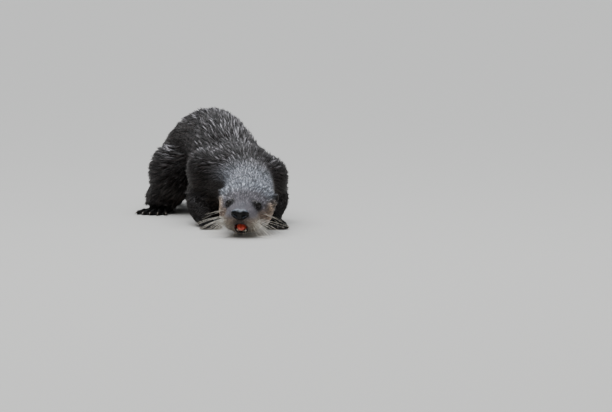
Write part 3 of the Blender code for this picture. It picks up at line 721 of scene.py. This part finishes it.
def laid_strands(at, locks, mine, tree, rng):
    """The strands' lie, run, width, lift and bend, then how near to its lock's middle each one is and
    whether it only fills. Strands of one wet lock lean together to its tip."""
    count = len(at["point"])
    way = lock_ways(at, rng)
    normal = at["normal"]
    lengths = at["length"] * rng.uniform(0.75, 1.1, count)
    lifts = locks["lift"][mine] * rng.uniform(0.55, 1.1, count)
    own_tip = at["point"] + way * lengths[:, None] + normal * (lengths * lifts)[:, None]
    fill = rng.uniform(0, 1, count) < FILL
    gather = GATHER * rng.uniform(0.6, 1.15, count) * (1 - 0.5 * at["foot"]) * np.where(fill, 0.15, 1)
    tip = own_tip + (locks["tip"][mine] - own_tip) * np.clip(gather, 0, 0.95)[:, None]
    reach = tip - at["point"]
    out = dot(reach, normal)
    flat = reach - normal * out[:, None]
    stray = (size_of(flat) < 0.35 * lengths) | (dot(flat, way) < 0.2 * lengths)
    flat[stray] = way[stray] * lengths[stray, None]
    out[stray] = lengths[stray] * lifts[stray]
    run = np.maximum(size_of(flat), 1e-5)
    way = flat / run[:, None]
    lifts = np.clip(out / run, 0.04, 0.6)
    widths = at["length"] * STRAND_WIDTH * rng.uniform(0.6, 1.25, count)
    bends = rng.normal(0, 0.06, count)

    across = np.cross(locks["normal"], locks["lie"])[mine]
    half = at["length"] * LOCK_SPACING * (1 + HEAD_LOCKS * at["in_head"]) * 0.5
    valley = np.abs(dot(at["point"] - locks["point"][mine], across)) / half
    middle = 1 - ease(valley, 0.02, 0.56)
    lifts = lifts * (0.75 + 0.45 * middle) * np.where(fill, 0.62, 1)
    steepest = np.maximum(lifts, 1.1 - 0.85 * np.maximum(at["foot"], at["ear"]))
    lifts = clear_of_skin(tree, at["point"], normal, way, run, lifts, steepest)
    return (way, run, widths, lifts, bends), middle, fill


def strand_colours(at, middle, fill, lock_shade, rng):
    """Colours at root and tip. A lock carries a painted highlight along its middle, where it stands highest,
    a painted sky sheen where it faces up, and painted shade in the valleys between."""
    count = len(middle)
    colours = markings(at) * rng.uniform(0.7, 1.2, count)[:, None]
    # Painted sky sheen: the highlight grows with how far the root faces up.
    sky = 0.075 + 0.925 * ease(at["normal"][:, 2], 0.26, 0.98)
    cloud = np.clip(0.85 + 0.45 * ridges(at["point"], 0.085, 11), 0.35, 1.35)
    sheen_highlight = middle ** 1.6 * sky * (0.05 + 0.95 * lock_shade ** 1.6) * cloud * rng.uniform(0.5, 1.2, count)
    sheen_highlight = sheen_highlight * np.where(fill, 0.12, 1) * (1 - 0.55 * ease(at["station"], 34, 46))
    low_leg = at["in_leg"] * ease(at["leg_share"], 0.35, 0.8)
    for place, less in ((at["foot"], 0.97), (at["in_head"], 0.85), (at["ear"], 0.9), (at["in_leg"], 0.35),
                        (low_leg, 0.8)):
        sheen_highlight = sheen_highlight * (1 - less * place)
    pale = np.clip(at["in_head"] + at["nape"], 0, 1)
    mottle = 1 + 0.25 * pale * ridges(at["point"], 0.011, 17)
    shade = (1 + pale * (lock_shade - 0.5) * 1.45) * mottle
    # Painted highlight along each lock's middle and painted shade in the valleys, darker still on the filling
    # strands.
    colours = colours * (shade * (0.34 + 0.9 * middle) * np.where(fill, 0.72, 1))[:, None]
    # Tips lighter along the lock's middle, plus the painted sheen highlight.
    return colours, colours * (1 + 0.5 * middle)[:, None] + np.outer(sheen_highlight, SHEEN_HIGHLIGHT)


def bare_places(head):
    """Where no tuft grows, in head places: eyes, nose pad, mouth and the ear's hollow."""
    mirror = mirrored(head)
    eye = blob(mirror, EYE_PLACE, (9.6, 10, 8.6)) > 0.35
    nose = blob(mirror, (0, 93, -11), (19, 13, 14)) > 0.3
    mouth = blob(head, (MOUTH_CENTRE[0], 92, MOUTH_CENTRE[2]), (16, 18, 12.5)) > 0.25
    return eye | nose | mouth | (size_of(mirror - EAR_CENTRE - EAR_FACING * 1.5) < 4.2)


def make_coat(points, triangles, tree, material):
    """All strands, in pieces of one zone each."""
    rng = np.random.default_rng(SEED)
    normals = vertex_normals(points, triangles)
    fields = body_fields(points, normals)
    length, centre, in_head = (fields[name][triangles].mean(axis=1) for name in ("length", "head", "in_head"))
    spacing = length * LOCK_SPACING * (1 + HEAD_LOCKS * in_head)
    open_skin = ~bare_places(centre) & (points[triangles][:, :, 2].max(axis=1) > 1 * MM)
    locks = wet_locks(points, triangles, normals, open_skin / spacing ** 2, rng)
    density = open_skin * COVER / (length ** 2 * STRAND_WIDTH * 0.55)
    at = on_skin(points, triangles, normals, np.minimum(density, MOST_STRANDS), rng)
    mine = nearest(at["point"], locks["point"])
    shape, middle, fill = laid_strands(at, locks, mine, tree, rng)
    columns = (at["point"], at["normal"], *shape,
               *strand_colours(at, middle, fill, locks["shade"][mine], rng))
    zone, u, v = unwrap(at)
    for number, (name, segments) in enumerate(ZONES.items()):
        here = np.flatnonzero(zone == number)
        here = here[np.argsort(v[here], kind="stable")]
        parts = max(1, math.ceil(len(here) * (6 * segments - 2) / PIECE_TRIANGLES))
        for index, chosen in enumerate(np.array_split(here, parts)):
            low, high = v[chosen].min(), v[chosen].max()
            place = np.stack([0.01 + 0.98 * u[chosen],
                              0.01 + 0.98 * (v[chosen] - low) / (high - low)], axis=1)
            arrays = tuft_arrays(*(column[chosen] for column in columns), segments, place)
            title = f"coat_{name}_{index + 1}" if parts > 1 else f"coat_{name}"
            shown(title, mesh_of(title, *arrays), material, "coat")


# ---------------------------------------------------------------- eyes, nose, mouth, claws, whiskers
def band_triangles(rings, size, closed):
    """Triangles between equal rings of points, one after the other."""
    triangles = []
    for i in range(rings if closed else rings - 1):
        a, b = i * size, (i + 1) % rings * size
        for k in range(size):
            n = (k + 1) % size
            triangles += [(a + k, a + n, b + n), (a + k, b + n, b + k)]
    return np.array(triangles)


def tube_arrays(path, radii, sides, closed=False):
    """Points and triangles of a round tube along a path in metres."""
    path, radii = np.asarray(path, float), np.asarray(radii, float)
    count = len(path)
    if closed:
        along = unit(np.roll(path, -1, axis=0) - np.roll(path, 1, axis=0))
    else:
        along = unit(np.gradient(path, axis=0))
    guide = path.mean(axis=0) - path if closed else np.tile((0.13, 0.21, 1), (count, 1))
    side = unit(np.cross(along, guide))
    up = np.cross(side, along)
    angles = math.tau * np.arange(sides) / sides
    rings = (path[:, None] + radii[:, None, None] * (side[:, None] * np.cos(angles)[None, :, None]
                                                    + up[:, None] * np.sin(angles)[None, :, None]))
    triangles = band_triangles(count, sides, closed)
    if not closed:
        end = (count - 1) * sides
        caps = [(0, k + 1, k) for k in range(1, sides - 1)]
        caps += [(end, end + k, end + k + 1) for k in range(1, sides - 1)]
        triangles = np.concatenate([triangles, np.array(caps)])
    return rings.reshape(-1, 3), triangles


def joined(parts):
    """Many arrays of points and triangles as one."""
    starts = np.cumsum([0] + [len(points) for points, _ in parts])
    return (np.concatenate([points for points, _ in parts]),
            np.concatenate([triangles + start for (_, triangles), start in zip(parts, starts)]))


def globe(segments, rings):
    """Points and triangles of a unit ball with its poles on y."""
    shape = bmesh.new()
    bmesh.ops.create_uvsphere(shape, u_segments=segments, v_segments=rings, radius=1,
                              matrix=Matrix.Rotation(math.radians(90), 4, "X"))
    bmesh.ops.triangulate(shape, faces=shape.faces)
    points = np.array([vertex.co for vertex in shape.verts])
    triangles = np.array([[vertex.index for vertex in face.verts] for face in shape.faces])
    shape.free()
    return points, triangles


def powered(values, power):
    return np.sign(values) * np.abs(values) ** power


def skin_hit(tree, start, way):
    """Where a line from a head place, in a head direction, first meets the skin, as a head place."""
    origin = Vector(from_head([start])[0])
    ahead = Vector(unit(np.asarray(way, float)) @ HEAD_TURN.T)
    hit = tree.ray_cast(origin, ahead)[0]
    return None if hit is None else to_head(np.array([hit]))[0]


def make_eye(side, tree, wet, lid):
    """An eyeball set in the skin, and its two lids as one almond rim."""
    name = "eye_left" if side > 0 else "eye_right"
    gaze = unit(np.array((side * 0.5, 0.84, 0.14)))
    centre = np.array((EYE_PLACE[0] * side, EYE_PLACE[1] - 8, EYE_PLACE[2]))
    surface = skin_hit(tree, centre + gaze * 40, -gaze)
    middle = surface - gaze * (EYE_RADIUS - EYE_BULGE)
    level = unit(np.cross(gaze, (0, 0, 1)))
    upward = np.cross(level, gaze)
    ball, triangles = globe(40, 28)
    cornea = 1 + 0.045 * ease(np.clip(ball[:, 1], 0, 1), 0.8, 1)
    turned = (ball * cornea[:, None] * EYE_RADIUS) @ np.stack([level, gaze, upward])
    piece(name + "_ball", (from_head(middle + turned), triangles), wet, "eye", name)
    angles = math.tau * np.arange(56) / 56
    across = 0.92 * np.cos(angles)
    rise = 0.74 * np.sin(angles) * (1 - 0.3 * np.abs(np.cos(angles)) ** 2)
    rings = []
    # How far each ring of the lids opens, and how far it stands off the eyeball; the last two are inside.
    for opening, out in ((1, 0.05), (1.02, 0.55), (1.12, 0.85), (1.35, 0.85), (1.8, 0.6), (3.2, 0.3),
                         (2.6, -1.4), (1.1, -1.2)):
        ways = gaze + np.outer(across * opening, level) + np.outer(rise * opening + 0.05, upward)
        rings.append(middle + unit(ways) * (EYE_RADIUS + out))
    band = band_triangles(len(rings), len(angles), True)
    piece("lids_" + name[4:], (from_head(np.concatenate(rings)), band), lid, "nose")


def make_nose(material):
    """A broad bare pad: two upper lobes, comma-shaped nostrils and a groove down to the lip."""
    ball, triangles = globe(96, 64)
    x, y, z = ball.T
    below, above = np.clip(-z, 0, 1), np.clip(z, 0, 1)
    wide, deep, high = NOSE_RADII
    fuller = 1 + 0.1 * (np.abs(x * z))
    place = np.stack([wide * x * (1 - 0.42 * below ** 1.4) * fuller, deep * y, high * z * fuller], axis=1)
    place[:, 2] -= 1.6 * np.exp(-(place[:, 0] / 4) ** 2) * above
    front = ease(y, 0, 0.5)
    groove = np.exp(-(place[:, 0] / 1.1) ** 2) * ease(-place[:, 2], -4, 4) * front
    place[:, 1] -= 1.2 * groove
    for side in (-1, 1):
        across, up = place[:, 0] - side * 7.6, place[:, 2] + 1.4
        slanted = across * side * 0.86 + up * 0.5
        upright = -across * side * 0.5 + up * 0.86
        pit = np.exp(-(slanted / 3.6) ** 2 - (upright / 2.1) ** 2)
        slit = np.exp(-((across * side - 4.6) / 3) ** 2 - ((up - 1.4) / 1.2) ** 2)
        place[:, 1] -= (5.2 * pit + 2.6 * slit) * front
        rim = np.exp(-((np.hypot(slanted / 3.6, upright / 2.1) - 1.55) / 0.45) ** 2)
        place[:, 1] += 0.8 * rim * front
    piece("nose", (from_head(place + NOSE_PLACE), triangles), material, "nose", "nose_pad")


def mouth_outline(angles, grow):
    """The mouth's opening across the head, wider above than below."""
    across, rise = powered(np.cos(angles), 0.72), powered(np.sin(angles), 0.72)
    wide = MOUTH_HALF[0] * (0.93 + 0.1 * rise)
    return np.stack([MOUTH_CENTRE[0] + wide * across * grow,
                     MOUTH_HALF[1] * rise * grow + MOUTH_CENTRE[2]], axis=1)


def mouth_cutter():
    """A rounded plug the shape of the open mouth, narrowing inwards."""
    count = 40
    angles = math.tau * np.arange(count) / count
    rings = []
    for forward, grow in ((112, 1.25), (98, 1.08), (90, 1), (80, 0.96), (70, 0.86),
                          (63, 0.66), (60, 0.35)):
        across, up = mouth_outline(angles, grow).T
        rings.append(np.stack([across, np.full(count, forward), up], axis=1))
    end = (len(rings) - 1) * count
    faces = [(a + k, a + (k + 1) % count, a + count + (k + 1) % count, a + count + k)
             for a in range(0, end, count) for k in range(count)]
    faces += [tuple(range(count)), tuple(range(end, end + count))]
    mesh = bpy.data.meshes.new("mouth_cutter")
    mesh.from_pydata(from_head(np.concatenate(rings)).tolist(), [], faces)
    return new_object("mouth_cutter", faced_outward(mesh))


def open_mouth(skin, lining):
    """Cuts the mouth into the skin and lines it."""
    cutter = mouth_cutter()
    cutter.data.materials.append(lining)
    cut = skin.modifiers.new("mouth", "BOOLEAN")
    cut.object = cutter
    cut.operation = "DIFFERENCE"
    cut.solver = "EXACT"
    cut.material_mode = "TRANSFER"
    mesh = evaluated(skin)
    skin.modifiers.clear()
    old, skin.data = skin.data, mesh
    bpy.data.meshes.remove(old)
    bpy.data.objects.remove(cutter)


def make_lips(tree, wet):
    """A tube round the opening; gives its path in head places."""
    angles = math.tau * np.arange(48) / 48
    path = []
    for across, up in mouth_outline(angles, 1.05):
        hit = skin_hit(tree, (across, 130, up), (0, -1, 0))
        path.append(hit if hit is not None else (across, 88, up))
    path = np.array(path)
    for _ in range(4):
        path[:, 1] = (path[:, 1] * 2 + np.roll(path[:, 1], 1) + np.roll(path[:, 1], -1)) / 4
    path[:, 1] -= 0.5
    thick = 0.85 + 0.65 * np.clip(-np.sin(angles), 0, 1)
    piece("lips", tube_arrays(from_head(path), thick * MM, 10, closed=True), wet, "nose")
    return path


def make_tongue(material):
    """A flattened tongue with a groove along its middle, raised edges and a tip that bends down."""
    ball, triangles = globe(48, 32)
    x, y, z = ball.T
    wide, deep, high = TONGUE_RADII
    place = np.stack([wide * powered(x, 0.85), deep * y, high * z], axis=1)
    place[:, 2] -= 1.6 * np.exp(-(place[:, 0] / 1.6) ** 2) * ease(z, 0, 0.6)
    place[:, 2] += 1.3 * ease(np.abs(place[:, 0]), 3, 9) * ease(z, -0.2, 0.5)
    place[:, 2] -= 2.4 * ease(y, 0.3, 1)
    piece("tongue_in_mouth", (from_head(place + TONGUE_PLACE), triangles), material, "tongue", "tongue")


def make_teeth(lip_path, enamel):
    """The lower teeth, just behind the lowest point of the lips: two canines and six small ones."""
    front = lip_path[np.argmin(lip_path[:, 2]), 1]
    parts = []
    for across, height, thick in ((-8.6, 5.6, 1.35), (8.6, 5.6, 1.35), (-5.6, 2.6, 0.85), (-3.4, 2.5, 0.8),
                                  (-1.2, 2.4, 0.75), (1.2, 2.4, 0.75), (3.4, 2.5, 0.8), (5.6, 2.6, 0.85)):
        base = np.array((MOUTH_CENTRE[0] + across * 0.93, front - 2.6,
                         MOUTH_CENTRE[2] - MOUTH_HALF[1] * 0.86))
        shares = np.linspace(0, 1, 6)
        line = base + np.outer(shares * height, (0.05 * np.sign(across), -0.12, 1))
        line[:, 1] += 0.9 * np.sin(shares * math.pi) * (height / 5)
        parts.append(tube_arrays(from_head(line), thick * (1 - 0.85 * shares ** 1.6) * MM, 8))
    piece("lower_teeth", joined(parts), enamel, "tongue")


def make_claws(material):
    """Short curved claws, one at the end of each toe."""
    parts = []
    shares = np.linspace(0, 1, 7)
    for leg in LEGS:
        long = leg["sizes"]["toe_radius"] * 1.7
        for base, ahead, radius, _ in toes(leg):
            start = base + ahead * (leg["sizes"]["toe_length"] + radius * 0.45)
            line = []
            for share in shares:
                spot = start + ahead * long * share
                curved = Vector((spot.x, spot.y, 5.4 + 1.2 * share - 4.8 * share ** 2))
                line.append(list(foot_frame(leg) @ (curved * MM)))
            parts.append(tube_arrays(line, radius * 0.34 * (1 - 0.88 * shares ** 1.5) * MM, 8))
    piece("claws", joined(parts), material, "paw_skin")


def whisker_roots(side):
    """One side's whiskers: a place to look from, the way to look, then way, length and thickness."""
    for row, up in enumerate((-22, -27, -32, -37)):  # four rows on the whisker pad
        for column in range(6):
            way = (side * (0.74 + 0.12 * column), 0.74 - 0.09 * column, -0.16 - 0.3 * row + 0.02 * column)
            length = (28 + 8 * column) * (1 - 0.13 * row)
            yield (side * 2, 85 - 4.5 * column - 1.5 * row, up), (side, 0.22, -0.05), way, length, 0.27
    for row in range(2):  # two rows under the chin
        for column in range(8):
            spot = (side * (3 + 3 * column), 74 - 3 * column - 5 * row, -45 - 4 * row)
            way = (side * (0.1 + 0.16 * column), 0.8, -0.55 - 0.2 * row)
            yield spot, (side * 0.35, 0.8, -0.25 - 0.25 * row), way, 18 + 2.8 * column, 0.2
    for number in range(5):  # on the cheek
        spot = (side * 30, 46 - 7 * number, -20 - 3 * number)
        way = (side, 0.25 - 0.05 * number, 0.05 - 0.09 * number)
        yield spot, (side, 0.3, 0), way, 20 + 3 * number, 0.2
    for number in range(2):  # over the eye
        spot = (side * 15, 52 - 4 * number, -2)
        way = (side * (0.7 + 0.3 * number), 0.35, 0.55)
        yield spot, (side * 0.1 * number, 0.1, 1), way, 10 + 2.5 * number, 0.07


def make_whiskers(tree, material):
    """Stiff pale whiskers that sag a little, bend over the floor and stay near the CAD box."""
    rng = np.random.default_rng(SEED + 7)
    shares = np.linspace(0, 1, 10)
    parts = []
    for start, look, way, length, thick in (*whisker_roots(-1), *whisker_roots(1)):
        look = np.asarray(look)
        root = skin_hit(tree, np.asarray(start, float) + unit(look) * 80, -look)
        if root is None:
            continue
        way = unit(np.asarray(way) + rng.normal(0, 0.09, 3))
        length = length * rng.uniform(0.85, 1.2)
        sag = rng.uniform(0.1, 0.3)
        back = rng.uniform(-0.05, 0.16)
        line = root + np.outer(shares * length, way)
        line += np.outer(shares ** 2 * length, (0, -back, -sag))
        line = from_head(line)
        height = line[:, 2] - WHISKER_LOWEST
        bent = np.log1p(np.exp(height / (3 * MM))) * 3 * MM
        line[:, 2] = WHISKER_LOWEST + np.where(line[:, 2] < 12 * MM, bent, height)
        over = np.maximum(line[:, 0] - CAD_BOX[1][0] - WHISKER_ROOM,
                          CAD_BOX[0][1] - 2 * WHISKER_ROOM - line[:, 1])
        if over.max() > 0:
            span = size_of(line - line[0])[over > 0].min()
            line = line[0] + (line - line[0]) * max(0.3, 1 - over.max() / span)
        parts.append(tube_arrays(line, thick * (1 - 0.7 * shares) * MM, 6))
    piece("whiskers", joined(parts), material, "face_coat")


# ---------------------------------------------------------------- materials
# Bare wet surfaces: colour, colour of their darker patches, roughness, pores per metre, the pores' depth,
# wet film and specular level.
WET_LOOKS = {
    "bare_wet_skin": ((0.0055, 0.0055, 0.0065), (0.0025, 0.0025, 0.003), 0.19, 900, 0.4, 0, 0.36),
    "lid_skin": ((0.006, 0.005, 0.005), (0.003, 0.0028, 0.0028), 0.6, 2200, 0.15, 0, 0.15),
    "wet_eye": ((0.008, 0.0055, 0.0045), (0.003, 0.0025, 0.0025), 0.1, 200, 0, 0, 0.28),
    "tongue_skin": ((0.56, 0.075, 0.04), (0.42, 0.045, 0.025), 0.34, 1500, 0.4, 0.4, 0.5),
    "mouth_lining": ((0.34, 0.045, 0.028), (0.16, 0.02, 0.015), 0.4, 700, 0.3, 0.3, 0.5),
    "enamel": ((0.8, 0.72, 0.56), (0.66, 0.56, 0.4), 0.28, 600, 0.1, 0.2, 0.5),
    "claw_horn": ((0.1, 0.075, 0.055), (0.035, 0.026, 0.02), 0.35, 500, 0.2, 0.2, 0.5),
    "whisker_hair": ((0.78, 0.74, 0.66), (0.6, 0.55, 0.46), 0.35, 150, 0, 0, 0.5),
}


def new_material(name):
    made = bpy.data.materials.new(name)
    made.use_nodes = True
    return made, made.node_tree, made.node_tree.nodes["Principled BSDF"]


def feed(tree, target, inputs):
    """Gives a node's inputs their values, or links them from other nodes' outputs."""
    for name, value in inputs.items():
        if isinstance(value, bpy.types.NodeSocket):
            tree.links.new(value, target.inputs[name])
        else:
            target.inputs[name].default_value = value


def node(tree, kind, output, inputs=(), **settings):
    """The named output of a new node with these settings and inputs, or the node where no name is given."""
    made = tree.nodes.new("ShaderNode" + kind)
    for name, value in settings.items():
        setattr(made, name, value)
    feed(tree, made, dict(inputs))
    return made.outputs[output] if output else made


def noise_of(tree, place, scale, detail=2):
    return node(tree, "TexNoise", "Fac", {"Vector": place, "Scale": scale, "Detail": detail})


def ranged(tree, value, to, of=(0, 1), kind="LINEAR"):
    """The value, moved from one range to another."""
    return node(tree, "MapRange", "Result", {"Value": value, "From Min": of[0], "From Max": of[1],
                                             "To Min": to[0], "To Max": to[1]}, interpolation_type=kind)


def blended(tree, share, one, other):
    """From one colour to the other."""
    return node(tree, "Mix", "Result", {"Factor": share, "A": (*one, 1), "B": (*other, 1)},
                data_type="RGBA")


def bumped(tree, height, strength, distance):
    return node(tree, "Bump", "Normal", {"Height": height, "Strength": strength, "Distance": distance})


def pores_of(tree, place, scale, depth):
    """Fine pores as a bump."""
    pores = node(tree, "TexVoronoi", "Distance", {"Vector": place, "Scale": scale})
    return bumped(tree, pores, depth, 0.0005)


def coat_material(name, roughness, grain, bump, specular):
    """The shared tint, varied by noise, with a fine bump along the hair."""
    made, tree, shader = new_material(name)
    place = node(tree, "TexCoord", "Object")
    noise = noise_of(tree, place, grain, 4)
    tint = node(tree, "Attribute", "Color", attribute_name="Tint")
    varied = node(tree, "VectorMath", "Vector",
                  {0: tint, "Scale": ranged(tree, noise, (0.62, 1.38), (0.3, 0.7))}, operation="SCALE")
    feed(tree, shader, {
        "Base Color": varied, "Specular IOR Level": specular,
        "Roughness": ranged(tree, noise, (roughness - 0.1, roughness + 0.12)),
        "Normal": bumped(tree, noise_of(tree, place, grain * 6), bump, 0.0006)})
    return made


def wet_material(name, colour, dark, roughness, grain, bump, film, specular):
    """Bare wet skin: a mottled colour, pores as bump, and a clear wet film."""
    made, tree, shader = new_material(name)
    place = node(tree, "TexCoord", "Object")
    noise = noise_of(tree, place, grain * 0.35, 5)
    mottled = node(tree, "ValToRGB", "", {"Fac": noise})
    for element, share, tone in zip(mottled.color_ramp.elements, (0.32, 0.68), (dark, colour)):
        element.position, element.color = share, (*tone, 1)
    feed(tree, shader, {
        "Base Color": mottled.outputs["Color"], "Specular IOR Level": specular,
        "Roughness": ranged(tree, noise, (roughness * 0.8, roughness * 1.25)),
        "Coat Weight": film, "Coat Roughness": 0.08, "Normal": pores_of(tree, place, grain, bump)})
    return made


def nose_material():
    """Black leather with a painted bluish sheen on the part of the pad that faces up, with fine pores and a
    wet gloss.
    """
    made, tree, shader = new_material("nose_leather")
    place = node(tree, "TexCoord", "Object")
    noise = noise_of(tree, place, 260, 4)
    upward = node(tree, "SeparateXYZ", "Z", {"Vector": node(tree, "NewGeometry", "Normal")})
    grey = node(tree, "Math", "Value", {0: ranged(tree, upward, (0, 1), (0.3, 0.85), "SMOOTHSTEP"),
                                        1: ranged(tree, noise, (0.45, 1), (0.35, 0.6))},
                operation="MULTIPLY")
    feed(tree, shader, {
        # Painted sheen: the leather turns bluish grey where the pad faces up.
        "Base Color": blended(tree, grey, (0.003, 0.003, 0.0036), (0.13, 0.145, 0.178)),
        "Roughness": ranged(tree, noise, (0.14, 0.28)), "Specular IOR Level": 0.22,
        "Normal": pores_of(tree, place, 900, 0.16)})
    return made


# ---------------------------------------------------------------- camera, lights, floor
def studio_air():
    """An even grey dome that brightens to the floor's own tone at the horizon."""
    world = bpy.data.worlds.new("studio")
    bpy.context.scene.world = world
    world.use_nodes = True
    tree = world.node_tree
    tree.nodes.clear()
    height = node(tree, "SeparateXYZ", "Z", {"Vector": node(tree, "TexCoord", "Generated")})
    height = ranged(tree, height, (0, 1), (0.04, 0.2), "SMOOTHSTEP")
    tone = blended(tree, height, (0.93, 0.91, 0.87), (0.205, 0.215, 0.23))
    node(tree, "OutputWorld", "", {"Surface": node(tree, "Background", "Background", {"Color": tone})})


def aimed(name, data, place, way):
    """A lamp or a camera at a place, looking along a way."""
    made = new_object(name, data)
    made.location = place
    made.rotation_euler = Vector(way).to_track_quat("-Z", "Y").to_euler()
    return made


def stage():
    """Floor, soft lights and the camera."""
    mesh = bpy.data.meshes.new("floor")
    reach = 80
    mesh.from_pydata([(-reach, -reach, 0), (reach, -reach, 0), (reach, reach, 0), (-reach, reach, 0)], [],
                     [(0, 1, 2, 3)])
    made, tree, shader = new_material("pale_floor")
    feed(tree, shader, {"Base Color": (0.47, 0.46, 0.44, 1), "Roughness": 0.75, "Specular IOR Level": 0.15})
    mesh.materials.append(made)
    new_object("floor", mesh)
    studio_air()
    sky = bpy.data.lights.new("sky", "SUN")
    sky.energy, sky.angle, sky.color = 4.9, math.radians(75), (0.94, 0.97, 1)
    aimed("sky", sky, (0, 0, 0), (0.1, -0.16, -1))
    for name, place, aim, size, power, colour in (
            ("key", (-0.9, -2.4, 2.2), (0, -0.3, 0.1), 1.4, 16, (1, 0.98, 0.96)),
            ("glint", (-0.1, -0.62, 2), (0.02, -0.3, 0.1), 0.42, 9, (0.95, 0.98, 1)),
            ("fill", (2.2, -1.6, 1.2), (0, -0.2, 0.1), 1.6, 6, (1, 0.97, 0.93))):
        light = bpy.data.lights.new(name, "AREA")
        light.size, light.energy, light.color = size, power, colour
        aimed(name, light, place, Vector(aim) - Vector(place))
    down = math.radians(CAMERA_DOWN)
    look = Vector((0, math.cos(down), -math.sin(down)))
    camera = bpy.data.cameras.new("camera")
    camera.lens, camera.clip_start, camera.clip_end = CAMERA_LENS, 0.05, 300
    place = Vector(CAMERA_AIM) + SHIFT - look * CAMERA_AWAY
    bpy.context.scene.camera = aimed("camera", camera, place, look)


def main():
    stage()
    points, triangles = make_skin()
    fields = body_fields(points, vertex_normals(points, triangles))
    # The skin under the coat, darker where the coat is thick: a darker undercoat and painted shade in the
    # gaps between strands.
    undercoat_and_gap_shade = 0.45 + 0.3 * fields["in_head"] + 0.45 * fields["foot"]
    mesh = mesh_of("skin", points, triangles, colours=markings(fields) * undercoat_and_gap_shade[:, None])
    skin = shown("skin", mesh, coat_material("skin_short_fur", 0.75, 420, 0.5, 0.15), "coat", *FLESH)
    tree = BVHTree.FromPolygons(points.tolist(), triangles.tolist())
    wet = {name: wet_material(name, *values) for name, values in WET_LOOKS.items()}
    for side in (-1, 1):
        make_eye(side, tree, wet["wet_eye"], wet["lid_skin"])
    make_nose(nose_material())
    lip_path = make_lips(tree, wet["bare_wet_skin"])
    make_tongue(wet["tongue_skin"])
    make_teeth(lip_path, wet["enamel"])
    open_mouth(skin, wet["mouth_lining"])
    make_claws(wet["claw_horn"])
    make_whiskers(tree, wet["whisker_hair"])
    make_coat(points, triangles, tree, coat_material("wet_fur", 0.32, 500, 0.25, 0.36))


main()
